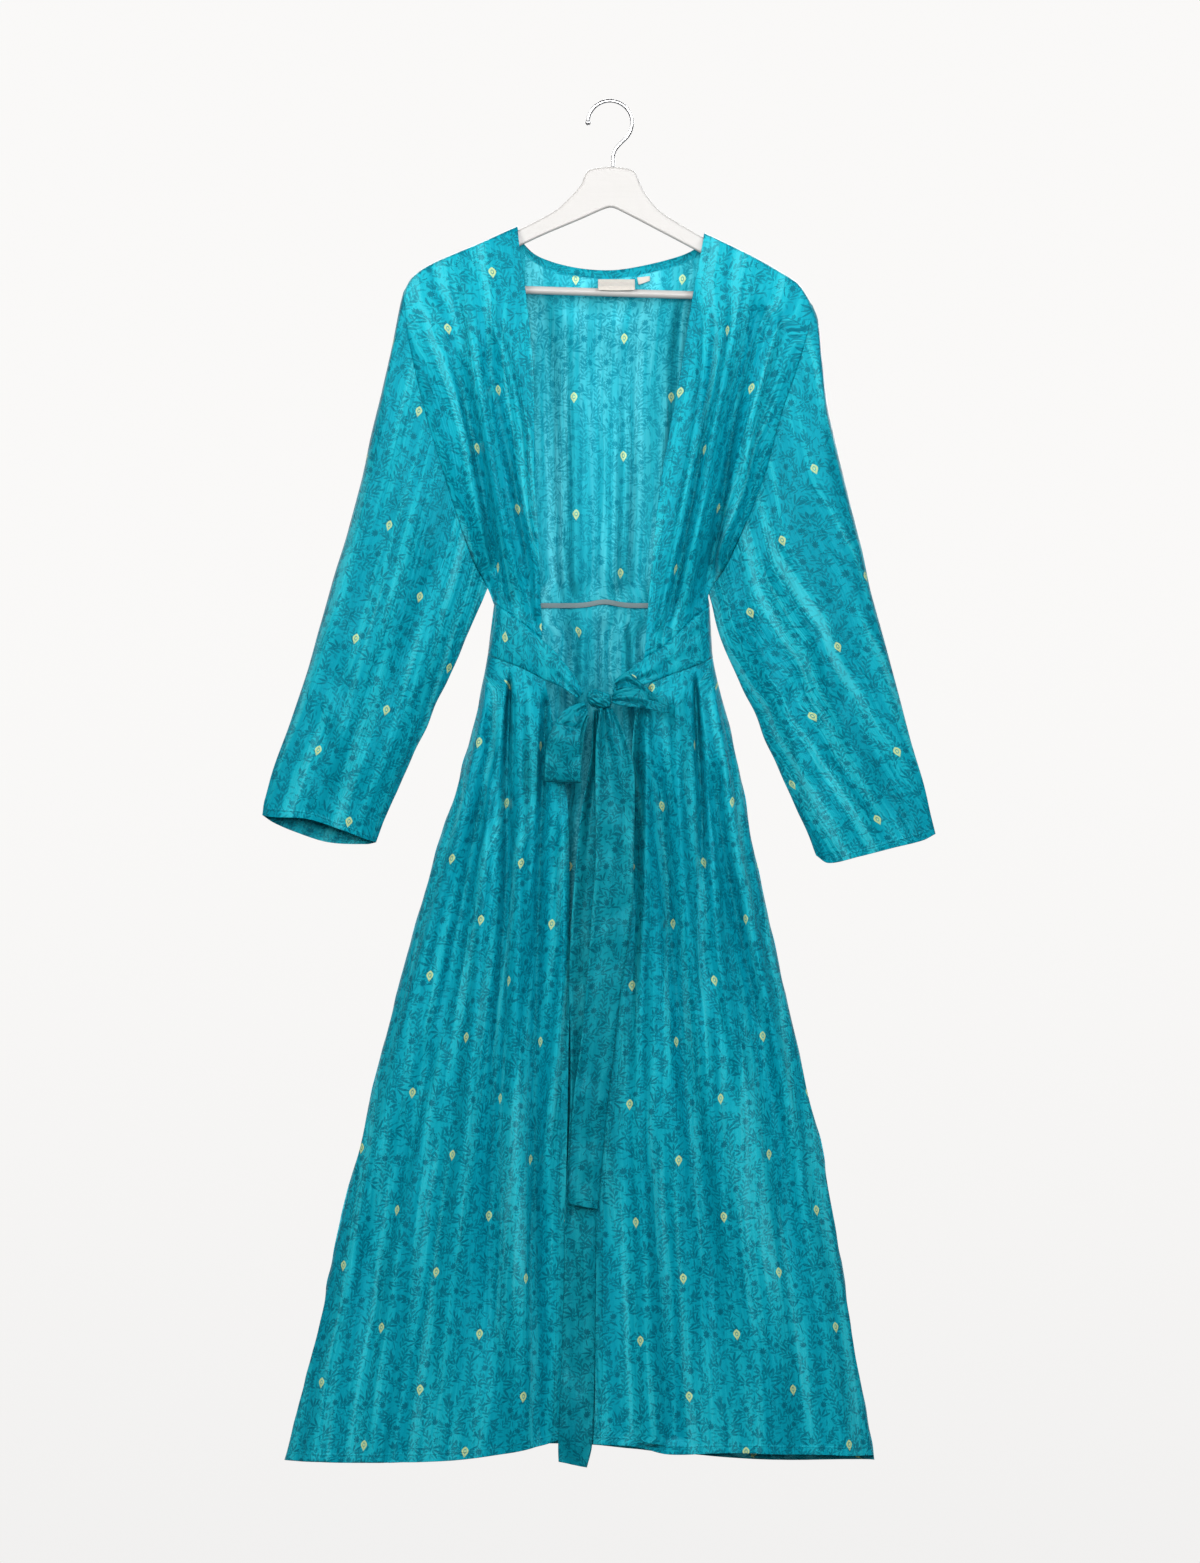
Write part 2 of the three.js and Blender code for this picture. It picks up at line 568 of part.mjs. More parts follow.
function waistband(band, sign) {
  const upper = through(band.upper);
  const lower = through(band.lower);
  const gap = HALF / BAND_WIDTH;
  const places = (edge) => [
    ...FRONT_COLUMNS.map((t) => t * edge.knot(EDGE)),
    ...steps(6).slice(1).map((t) => mix(edge.knot(EDGE), 1, t)),
  ];
  const above = places(upper);
  const below = places(lower);
  const rows = [gap, 0.33, 0.67, 1 - gap];
  const grid = rows.map((v) =>
    above.map((u, j) => {
      const a = upper(u);
      const b = lower(below[j]);
      const x = mix(a[0], b[0], v);
      const z = mix(a[1], b[1], v);
      const tie = smooth((u - 0.45) / 0.55);
      const gather = 2.2 * Math.sin(2 * Math.PI * v * 1.5) * Math.sin(Math.PI * v) * tie;
      const y = bodyDepth(x, z, -1) - TIE_REACH * tie + gather;
      return [x, j === 0 ? -HALF : y, z];
    }),
  );
  return wall(sign < 0 ? grid : grid.map((row) => row.reverse()), CLOTH, { plane: -1 });
}

// ---------- skirt ----------

const SKIRT_ROWS = [0, 0.012, 0.035, 0.08, 0.15, 0.24, 0.34, 0.45, 0.56, 0.67, 0.78, 0.89, 1];

function skirtFront(band, edgePoints, hem, column, sign) {
  const lower = through(band.lower);
  const top = (u) => lower(u * lower.knot(EDGE));
  const side = sideEdge(column, band.lower[0][1], hem[0][1]);
  const view = patch(top, through(hem), side, through(edgePoints));
  const grid = SKIRT_ROWS.map((row) => {
    const v = clamp(row, HALF / FRONT_SKIRT, 1);
    return FRONT_COLUMNS.map((u, j) => {
      const [x, z] = view(u, v);
      const fade = smooth((v * FRONT_SKIRT) / SEAM_FADE - 0.25) * smooth(u * 9);
      const y = bodyDepth(x, z, -1) - foldHeight(FRONT_FOLDS, x, z) * fade;
      return [x, j === 0 ? -HALF : Math.min(y, -HALF), z];
    });
  });
  return wall(sign < 0 ? grid : grid.map((line) => line.reverse()), CLOTH, { plane: -1 });
}

function skirtBack() {
  const waist = (u) => {
    const x = mix(BODY[1][1], BODY[1][2], u);
    return [x, waistBack(x)];
  };
  const topZ = waist(0)[1];
  const view = patch(waist, through(HEM_BACK), sideEdge(1, topZ, HEM_BACK[0][1]), sideEdge(2, topZ, HEM_BACK[0][1]));
  const last = BACK_COLUMNS.length - 1;
  const grid = SKIRT_ROWS.map((row) => {
    const v = clamp(row, HALF / BACK_SKIRT, 1);
    return BACK_COLUMNS.map((u, j) => {
      const [x, z] = view(u, v);
      const fade = smooth((v * BACK_SKIRT) / SEAM_FADE - 0.25) * smooth(Math.min(u, 1 - u) * 14);
      const y = bodyDepth(x, z, 1) + foldHeight(BACK_FOLDS, x, z) * fade;
      return [x, j === 0 || j === last ? HALF : Math.max(y, HALF), z];
    });
  });
  return wall(grid.map((line) => line.reverse()), CLOTH, { plane: 1 });
}

// ---------- bow ----------

const KNOT = { x: -12.7, y: -56, z: -633.5, wide: 28, deep: 15, high: 17 };

function knot() {
  const geometry = new THREE.SphereGeometry(0.5, 14, 9);
  geometry.rotateX(Math.PI / 2);
  geometry.scale(KNOT.wide, KNOT.deep, KNOT.high);
  geometry.translate(KNOT.x, KNOT.y, KNOT.z);
  return geometry;
}

// A loop of ribbon: down the front strand, round the fold and back up behind. Rows of the table:
// [x of one edge, z of it, x of the other edge, z of it, y], from the knot round to the knot.
const LOOP_LEFT = [
  [-29, -640, -24, -644, -61],
  [-46, -645, -30, -652, -64],
  [-58, -662, -31, -664, -67],
  [-66, -685, -31, -684, -68],
  [-69, -710, -31, -712, -67],
  [-69, -719, -31, -721, -64.5],
  [-68.5, -722, -31, -723, -61],
  [-68, -719, -31, -720, -57.5],
  [-66, -700, -30, -702, -56],
  [-58, -672, -27, -672, -56],
  [-38, -650, -22, -652, -56.5],
];
const LOOP_RIGHT = [
  [4, -628, 4, -636, -61],
  [16, -624, 16, -638, -65],
  [32, -627, 32, -641, -67],
  [48, -636, 48, -645, -67],
  [57, -641, 57, -648, -65],
  [61, -644, 61, -649, -62],
  [58, -638, 58, -643, -59],
  [47, -628, 47, -638, -57.5],
  [34, -619, 34, -632, -57.5],
  [20, -612, 20, -627, -58],
  [6, -620, 6, -629, -58],
];

function ribbonLoop(table, across) {
  const path = through(table);
  const grid = steps(20).map((v) => {
    const [x0, z0, x1, z1, y] = path(v);
    return steps(across).map((u) => [mix(x0, x1, u), y, mix(z0, z1, u)]);
  });
  return wall(grid, CLOTH);
}

// Hanging ends of the ties. Columns: z, x of the left edge, x of the right edge, y, fold height.
const TAIL_LONG = [
  [-646, -18, -8, -52, 2],
  [-699, -22, -4, -51, 3],
  [-762, -31, -4, -51, 3],
  [-826, -38, -2, -52, 2.5],
  [-911, -42.5, -2, -52, 2],
  [-1059, -42.5, -3, -53, 2],
  [-1144, -46.5, -13, -54, 2],
  [-1271, -49, -15, -54, 2],
  [-1421, -54, -18, -54, 1.5],
  [-1443, -54, -24, -54, 1],
];
const TAIL_SHORT = [
  [-646, -6, 3, -60, 2],
  [-674, -6, 17, -61, 3],
  [-704, -8, 24.5, -61, 3],
  [-743, -10, 26, -61, 3],
  [-794, -15, 23.5, -61, 2.5],
  [-870, -20, 22, -61, 2],
  [-945, -26, 11, -61, 2],
  [-1059, -38, -1, -61.5, 2],
  [-1170, -45, -12, -62, 1.5],
];

function tail(table) {
  const path = through(table);
  const grid = steps(16).map((v) => {
    const [z, x0, x1, y, fold] = path(v);
    return steps(4).map((u) => [mix(x0, x1, u), y - fold * Math.cos(2 * Math.PI * (u + 0.4 * v)), z]);
  });
  return wall(grid, CLOTH);
}

// ---------- trims ----------

// Tape over the back waist seam, lying on the inside of the back.
function waistTape() {
  const inset = CLOTH + TRIM + 3 * SEAM;
  const from = -98;
  const to = 82;
  const grid = [-0.5, 0.5].map((side) =>
    steps(22).map((t) => {
      const x = mix(from, to, t);
      const z = waistBack(x) - side * TAPE;
      return [x, bodyDepth(x, z, 1) - inset, z];
    }),
  );
  return wall(grid, TRIM);
}

// Blank labels in the back neck. The main one hangs forward over the hanger's bar: columns y, z.
const LABEL = { left: -12.7, right: 26.5 };
const LABEL_PROFILE = [[11, -187], [7, -190], [1.5, -193.2], [-3.5, -195.6], [-7, -199.8]];
const SIZE_TAB = [[29, -185, 42.5, -183.5], [29.5, -188.5, 42.5, -186], [30.5, -193, 42.5, -188.5]];

function mainLabel() {
  const profile = through(LABEL_PROFILE);
  const grid = steps(8).map((v) => {
    const [y, z] = profile(v);
    return steps(4).map((u) => [mix(LABEL.left, LABEL.right, u), y, z]);
  });
  return wall(grid, TRIM);
}

function sizeTab() {
  const grid = SIZE_TAB.map(([x0, z0, x1, z1], i) => [[x0, 12 - i * 0.8, z0], [x1, 12 - i * 0.8, z1]]);
  return wall(grid, TRIM);
}

// ---------- hanger ----------

// Upper edge of the wooden body from the left tip to the right tip, and its lower edge back again.
const HANGER_UPPER = [
  [-213, -206], [-206, -192], [-190, -178], [-138, -155], [-99, -136.5], [-58.3, -115], [-41.3, -99.5],
  [-31, -87.5], [-26, -76], [-21.7, -71.5], [1, -68.5], [25.4, -72.6], [30, -81.6], [38, -97.5],
  [52, -114.5], [73, -128.5], [100, -144], [121, -153.5], [151, -169], [179, -185], [199, -200], [209, -217],
];
const HANGER_LOWER = [
  [205, -221], [195, -213], [150, -188], [96, -159.5], [48.8, -134.6], [8, -113.5], [1, -111.3], [-6, -113],
  [-32.3, -124.5], [-68, -139.5], [-94.3, -151.6], [-150, -178], [-195, -201], [-208, -208],
];

function hangerBody() {
  const shape = new THREE.Shape([...HANGER_UPPER, ...HANGER_LOWER].map(([x, z]) => new THREE.Vector2(x, z)));
  const bevel = 3;
  const geometry = new THREE.ExtrudeGeometry(shape, {
    depth: ARM_THICK - 2 * bevel,
    bevelEnabled: true,
    bevelThickness: bevel,
    bevelSize: bevel,
    bevelOffset: -bevel,
    bevelSegments: 3,
  });
  geometry.translate(0, 0, bevel - ARM_THICK / 2);
  geometry.rotateX(Math.PI / 2);
  return geometry;
}

// Trouser bar between the arms: its ends follow the arms' undersides.
const BAR = { x0: -89, z0: -199, x1: 88, z1: -204.6 };
const UNDERSIDE = {
  left: { x: -150, z: -178, slope: 23 / 45 },
  right: { x: 150, z: -188, slope: -25 / 45 },
};

function hangerBar() {
  const sides = 16;
  const lean = (BAR.z1 - BAR.z0) / (BAR.x1 - BAR.x0);
  const clear = 1.2;
  const end = (line, dz, sign) => {
    // where the bar's generator, dz off its middle line, meets the arm's underside
    const x = (BAR.z0 - lean * BAR.x0 + dz - line.z + line.slope * line.x) / (line.slope - lean);
    const inside = x - sign * clear;
    return [inside, BAR.z0 + lean * (inside - BAR.x0) + dz];
  };
  const circle = steps(sides).slice(0, -1).map((t) => {
    const a = 2 * Math.PI * t;
    return [BAR_R * Math.cos(a), BAR_R * Math.sin(a)];
  });
  const ring = (line, sign) => circle.map(([y, dz]) => {
    const [x, z] = end(line, dz, sign);
    return [x, y, z];
  });
  const left = ring(UNDERSIDE.left, -1);
  const right = ring(UNDERSIDE.right, 1);
  const centre = (points) => [0, 1, 2].map((k) => points.reduce((sum, p) => sum + p[k], 0) / sides);
  const a = centre(left);
  const b = centre(right);
  const positions = [];
  for (let i = 0; i < sides; i++) {
    const j = (i + 1) % sides;
    positions.push(...left[i], ...left[j], ...right[j], ...left[i], ...right[j], ...right[i]);
    positions.push(...a, ...left[j], ...left[i], ...b, ...right[i], ...right[j]);
  }
  const geometry = new THREE.BufferGeometry();
  geometry.setAttribute("position", new THREE.Float32BufferAttribute(positions, 3));
  geometry.computeVertexNormals();
  return geometry;
}

// Hook: a bend round its middle, then the neck and the stem down to the wooden body.
const HOOK_MIDDLE = -(HOOK_R - WIRE_R);
const HOOK_NECK = [[11, -43.5], [6, -49.5], [3.6, -56], [3.2, -62], [3.2, -68.1]];

function hook() {
  const bend = steps(14).map((t) => {
    const a = THREE.MathUtils.degToRad(mix(172, -50, t));
    return new THREE.Vector3(HOOK_R * Math.cos(a), 0, HOOK_MIDDLE + HOOK_R * Math.sin(a));
  });
  const neck = HOOK_NECK.map(([x, z]) => new THREE.Vector3(x, 0, z));
  const path = new THREE.CatmullRomCurve3([...bend, ...neck], false, "centripetal");
  const section = new THREE.Shape();
  section.absarc(0, 0, WIRE_R, 0, 2 * Math.PI, false);
  return new THREE.ExtrudeGeometry(section, { steps: 32, curveSegments: 5, extrudePath: path });
}

const TIP_R = 3;

function hookTip() {
  const a = THREE.MathUtils.degToRad(172);
  const geometry = new THREE.SphereGeometry(TIP_R, 12, 8);
  geometry.translate(HOOK_R * Math.cos(a), 0, HOOK_MIDDLE + HOOK_R * Math.sin(a) - TIP_R - 2 * SEAM);
  return geometry;
}

// ---------- the robe ----------

const paint = (color, roughness, metalness = 0) => new THREE.MeshStandardMaterial({ color, roughness, metalness });
const SILK = () => paint(0x1598ad, 0.45);
const group = new THREE.Group();

function add(name, geometry, material) {
  const mesh = new THREE.Mesh(geometry, material);
  mesh.name = name;
  group.add(mesh);
}

add("bodice_front_left", bodiceFront(SHOULDER_LEFT, ARMHOLE_LEFT, FRONT_LEFT, BAND_LEFT, -1), SILK());
add("bodice_front_right", bodiceFront(SHOULDER_RIGHT, ARMHOLE_RIGHT, FRONT_RIGHT, BAND_RIGHT, 1), SILK());
add("bodice_back", bodiceBack(), SILK());
add("neck_band", neckBand(), SILK());
add("sleeve_left", sleeve(SLEEVE_LEFT, -1), SILK());
add("sleeve_right", sleeve(SLEEVE_RIGHT, 1), SILK());
add("waistband_left", waistband(BAND_LEFT, -1), SILK());
add("waistband_right", waistband(BAND_RIGHT, 1), SILK());
add("skirt_front_left", skirtFront(BAND_LEFT, SKIRT_EDGE_LEFT, HEM_LEFT, 1, -1), SILK());
add("skirt_front_right", skirtFront(BAND_RIGHT, SKIRT_EDGE_RIGHT, HEM_RIGHT, 2, 1), SILK());
add("skirt_back", skirtBack(), SILK());
add("bow_knot", knot(), SILK());
add("bow_loop_left", ribbonLoop(LOOP_LEFT, 4), SILK());
add("bow_loop_right", ribbonLoop(LOOP_RIGHT, 3), SILK());
add("tie_tail_long", tail(TAIL_LONG), SILK());
add("tie_tail_short", tail(TAIL_SHORT), SILK());
add("waist_tape", waistTape(), paint(0x8b8a93, 0.8));
add("neck_label", mainLabel(), paint(0xefe9df, 0.85));
add("size_tab", sizeTab(), paint(0xefe9df, 0.85));
add("hanger_body", hangerBody(), paint(0xf4f1ec, 0.4));
add("hanger_bar", hangerBar(), paint(0xf4f1ec, 0.4));
add("hanger_hook", hook(), paint(0xc8c9cc, 0.15, 1));
add("hook_tip", hookTip(), paint(0xc8c9cc, 0.15, 1));

export default group;
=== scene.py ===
"""Silk wrap robe on a clothes hanger: the finished surfaces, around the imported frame.

Lengths in this file are millimetres in the frame's axes (+Z up, -Y to the front, origin under the
top of the hook's bend), and become metres where a mesh is made. Left and right are as seen from
the front. A cloth piece is a grid of points, rows running down and points running left to right as
seen from outside, and its cut is laid out flat along its grain for the print.
"""
import math

import bpy
import numpy as np
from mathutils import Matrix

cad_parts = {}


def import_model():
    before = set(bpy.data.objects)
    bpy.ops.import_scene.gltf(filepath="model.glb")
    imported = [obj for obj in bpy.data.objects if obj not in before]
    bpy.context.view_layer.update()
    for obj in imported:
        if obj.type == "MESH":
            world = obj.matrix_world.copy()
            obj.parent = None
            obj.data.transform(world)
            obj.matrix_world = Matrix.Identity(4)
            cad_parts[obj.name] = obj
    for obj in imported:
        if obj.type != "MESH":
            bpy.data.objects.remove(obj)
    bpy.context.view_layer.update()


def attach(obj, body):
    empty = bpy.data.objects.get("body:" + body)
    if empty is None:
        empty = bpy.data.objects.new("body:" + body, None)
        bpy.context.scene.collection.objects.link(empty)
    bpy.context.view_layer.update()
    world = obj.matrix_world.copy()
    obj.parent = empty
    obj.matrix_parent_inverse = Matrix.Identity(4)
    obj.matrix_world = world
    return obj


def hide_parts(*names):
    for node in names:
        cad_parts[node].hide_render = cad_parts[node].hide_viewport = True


MM = 0.001
CLOTH = 0.5  # thickness of the silk as modelled
SHOULDER_R = 9.0  # rounding of the cloth over the shoulder seam
PITCH = 4.0  # spacing of a fine grid
HEM = 9.0  # width of the narrow hems
UNDER_BAND = 1.5  # how far the edges sewn to the waistband reach under it
NO_EDGE = 1000.0  # distance stated where a cloth has no hemmed edge
SEWN = 0.05  # least depth of a sheet on either side of the plane of the side seams

# The photograph's frame: pixels, scale at the front of the robe, and the pixel of the origin.
PHOTO_W, PHOTO_H = 1200, 1563
MM_PER_PIXEL = 1.06
ORIGIN_PIXEL = (610.0, 101.0)
CAMERA_DISTANCE = 9000.0
FOCUS_PLANE_Y = -22.0


# ---------------------------------------------------------------- curves, tables and noise

def smooth(a):
    """0 to 1, easing in and out, as a goes from 0 to 1."""
    t = np.clip(a, 0.0, 1.0)
    return t * t * (3 - 2 * t)


def mix(a, b, t):
    return a + (b - a) * t


def run_along(points, axis=1):
    """Distance run along the rows of points, or down them with axis 0, from 0 at the start."""
    steps = np.linalg.norm(np.diff(points, axis=axis), axis=-1)
    return np.insert(np.cumsum(steps, axis=axis), 0, 0.0, axis=axis)


def hermite(a, b, slope_a, slope_b, h, q):
    """Cubic from a to b over a stretch h with these slopes at its ends, at the part q of it."""
    q2, q3 = q * q, q * q * q
    return (
        a * (2 * q3 - 3 * q2 + 1)
        + b * (3 * q2 - 2 * q3)
        + slope_a * h * (q3 - 2 * q2 + q)
        + slope_b * h * (q3 - q2)
    )


def stretch_of(at, s):
    """Index of the stretch between the places at that s lies in, its length, and the part of it."""
    i = np.clip(np.searchsorted(at, s, side="right") - 1, 0, len(at) - 2)
    h = at[i + 1] - at[i]
    return i, h, (s - at[i]) / h


def through(points):
    """A smooth curve through points, its parameter running 0 to 1 by chord length."""
    p = np.array(points, float)
    at = run_along(p, axis=0)
    before = np.maximum(np.arange(len(p)) - 1, 0)
    after = np.minimum(np.arange(len(p)) + 1, len(p) - 1)
    slope = (p[after] - p[before]) / (at[after] - at[before])[:, None]

    def point(t):
        i, h, q = stretch_of(at, np.clip(np.asarray(t, float), 0, 1) * at[-1])
        return hermite(p[i], p[i + 1], slope[i], slope[i + 1], h[..., None], q[..., None])

    point.knot = lambda i: at[i] / at[-1]
    point.total = at[-1]
    return point


def lookup(table, key, column):
    """Column of a table whose rows are [key, ...], keys falling, smoothly between its rows."""
    rows = np.array(table, float)
    k, c = -rows[:, 0], rows[:, column]
    slope = np.gradient(c, k)
    i, h, q = stretch_of(k, np.clip(-np.asarray(key, float), k[0], k[-1]))
    return hermite(c[i], c[i + 1], slope[i], slope[i + 1], h, q)


def patch(top, bottom, left, right):
    """A flat patch [x, z] between four edges: top and bottom run with u, left and right with v."""
    t0, t1 = top(0.0), top(1.0)
    b0, b1 = bottom(0.0), bottom(1.0)

    def point(u, v):
        uu, vv = u[..., None], v[..., None]
        return (
            mix(top(u), bottom(u), vv)
            + mix(left(v), right(v), uu)
            - mix(mix(t0, t1, uu), mix(b0, b1, uu), vv)
        )

    return point


def noise(x, y, seed):
    """Smooth value noise from -1 to 1, one cell to a unit."""
    xi, yi = np.floor(x), np.floor(y)
    fx, fy = smooth(x - xi), smooth(y - yi)

    def corner(a, b):
        n = np.sin(a * 12.9898 + b * 78.233 + seed * 37.719) * 43758.5453
        return 2 * (n - np.floor(n)) - 1

    low = mix(corner(xi, yi), corner(xi + 1, yi), fx)
    high = mix(corner(xi, yi + 1), corner(xi + 1, yi + 1), fx)
    return mix(low, high, fy)


def fold_height(folds, x, z):
    """Height of the folds at x, z. A fold is a table of rows [z, x, half width, height], outwards
    being plus, the lengths over which it rises at its top end and dies out at its bottom end, and
    its lean, from -1, steep on its right side, to 1, steep on its left side."""
    total = np.zeros_like(x)
    for table, rise, fall, lean in folds:
        centre, half, height = (lookup(table, z, column) for column in (1, 2, 3))
        ends = smooth((table[0][0] - z) / rise + 1) * smooth((z - table[-1][0]) / fall + 1)
        q = np.clip((x - centre) / half, -1, 1)
        q = q + lean * (1 - q * q) / 2
        total += height * ends * (1 + np.cos(np.pi * q)) / 2
    return total


# ---------------------------------------------------------------- the garment's sizes

# Side seams. Columns: z, x left, x right, front depth, back depth.
BODY = [
    [-500, -130, 106, 36, 24],
    [-532, -123, 106, 38, 25],
    [-587, -130, 109, 41, 27],
    [-677, -149, 131, 43, 30],
    [-804, -187, 155, 44, 32],
    [-953, -228, 188, 45, 34],
    [-1122, -270, 227, 46, 36],
    [-1292, -309, 256, 46, 37],
    [-1442, -346, 281, 46, 38],
]

# Shoulder seams from the tip to the neck point, [x, z].
SHOULDER_LEFT = [[-219.4, -201], [-210.4, -186], [-190.8, -172], [-137.8, -149], [-98.6, -131.4]]
SHOULDER_RIGHT = [[215.5, -216], [200.3, -193], [179.4, -179], [151.3, -163], [100.3, -138.4]]

# Armhole seams from the shoulder tip to the underarm, [x, z, depth].
ARMHOLE_LEFT = [
    [-219.4, -201, 0.4],
    [-219.3, -204, 6],
    [-219, -212, 9],
    [-213, -257, 12],
    [-196, -329, 16],
    [-174, -402, 16],
    [-146, -486, 9],
    [-130, -516, 0.4],
]
ARMHOLE_RIGHT = [
    [215.5, -216, 0.4],
    [215.4, -219, 6],
    [215, -227, 9],
    [200, -279, 12],
    [181, -335, 16],
    [162, -402, 16],
    [126, -488, 9],
    [105, -522, 0.4],
]

# Upper and lower edges of the waistbands, side seam to knot, [x, z]. The point at EDGE is the
# robe's front edge, and past it the band is a free tie.
EDGE = 3
BAND_LEFT = {
    "upper": [
        [-123, -532], [-113, -539], [-92, -554], [-72, -571],
        [-60, -582], [-48, -596], [-36, -612], [-28.5, -629],
    ],
    "lower": [
        [-130, -587], [-118, -592], [-92, -602], [-69, -614],
        [-51, -622], [-43, -627], [-34, -633],
    ],
}
BAND_RIGHT = {
    "upper": [
        [106, -535], [90, -547], [60, -575], [36, -591],
        [22, -602], [12, -611], [3, -625],
    ],
    "lower": [
        [109, -590], [96, -597], [68, -607], [42, -617],
        [26, -623], [14, -630], [4, -636],
    ],
}
TIE_REACH = 10.0  # how far the free ties stand in front of the body at the knot

# Lengths along the cloth and widths across it, which set the spacing of the grids.
FRONT_WIDTH = 112.0
SLEEVE_LENGTH = 590.0
SKIRT_FRONT_WIDTH, SKIRT_FRONT_LENGTH = 260.0, 830.0
SKIRT_BACK_LENGTH = 905.0

# Front edges of the bodice, from the neck point to the waistband, [x, z, depth].
FRONT_LEFT = [
    [-98.6, -131.4, 0.4],
    [-98.4, -132.8, 5.5],
    [-97.6, -138, 9],
    [-96.1, -152.5, 10],
    [-89, -205, 12],
    [-81, -284, 16],
    [-79.5, -402, 26],
    [-75, -480, 32],
    [-72, -571, 36.5],
]
FRONT_RIGHT = [
    [100.3, -138.4, 0.4],
    [100.1, -139.8, 5.5],
    [99.2, -145, 9],
    [96.5, -159.5, 10],
    [88, -203.5, 12],
    [75.3, -284, 16],
    [54, -402, 26],
    [45, -480, 32],
    [36, -591, 38],
]

# Back neck curve from the left neck point to the right one, [x, z, depth behind].
NECK_BAND = 9.0  # width of the band round the back neck
NECK_BACK = [
    [-98.6, -131.4, 0.4],
    [-98.2, -132.8, 5.5],
    [-96.4, -138, 9],
    [-90.5, -150.5, 12],
    [-75, -163, 14],
    [-40, -173.6, 16],
    [-1, -177, 17],
    [32, -172.8, 16],
    [74, -162.2, 14],
    [93, -153, 12],
    [98.7, -145, 9],
    [99.9, -139.8, 5.5],
    [100.3, -138.4, 0.4],
]

# Front edges and hems of the skirt, [x, z].
SKIRT_EDGE_LEFT = [
    [-69, -614], [-57, -677], [-45, -745], [-42.5, -880],
    [-44, -1020], [-49, -1270], [-53, -1417],
]
SKIRT_EDGE_RIGHT = [
    [42, -617], [27, -650], [22, -730], [22, -850], [10, -945],
    [-2, -1060], [-14, -1150], [-16, -1370], [-18, -1422],
]
HEM_LEFT = [[-346, -1442], [-280, -1443], [-171, -1440], [-110, -1432], [-73, -1424], [-53, -1417]]
HEM_RIGHT = [[281, -1437], [200, -1434], [120, -1432], [61, -1433], [28, -1425], [-18, -1422]]
HEM_BACK = [[-346, -1442], [-190, -1438], [-70, -1425], [20, -1430], [160, -1440], [281, -1437]]

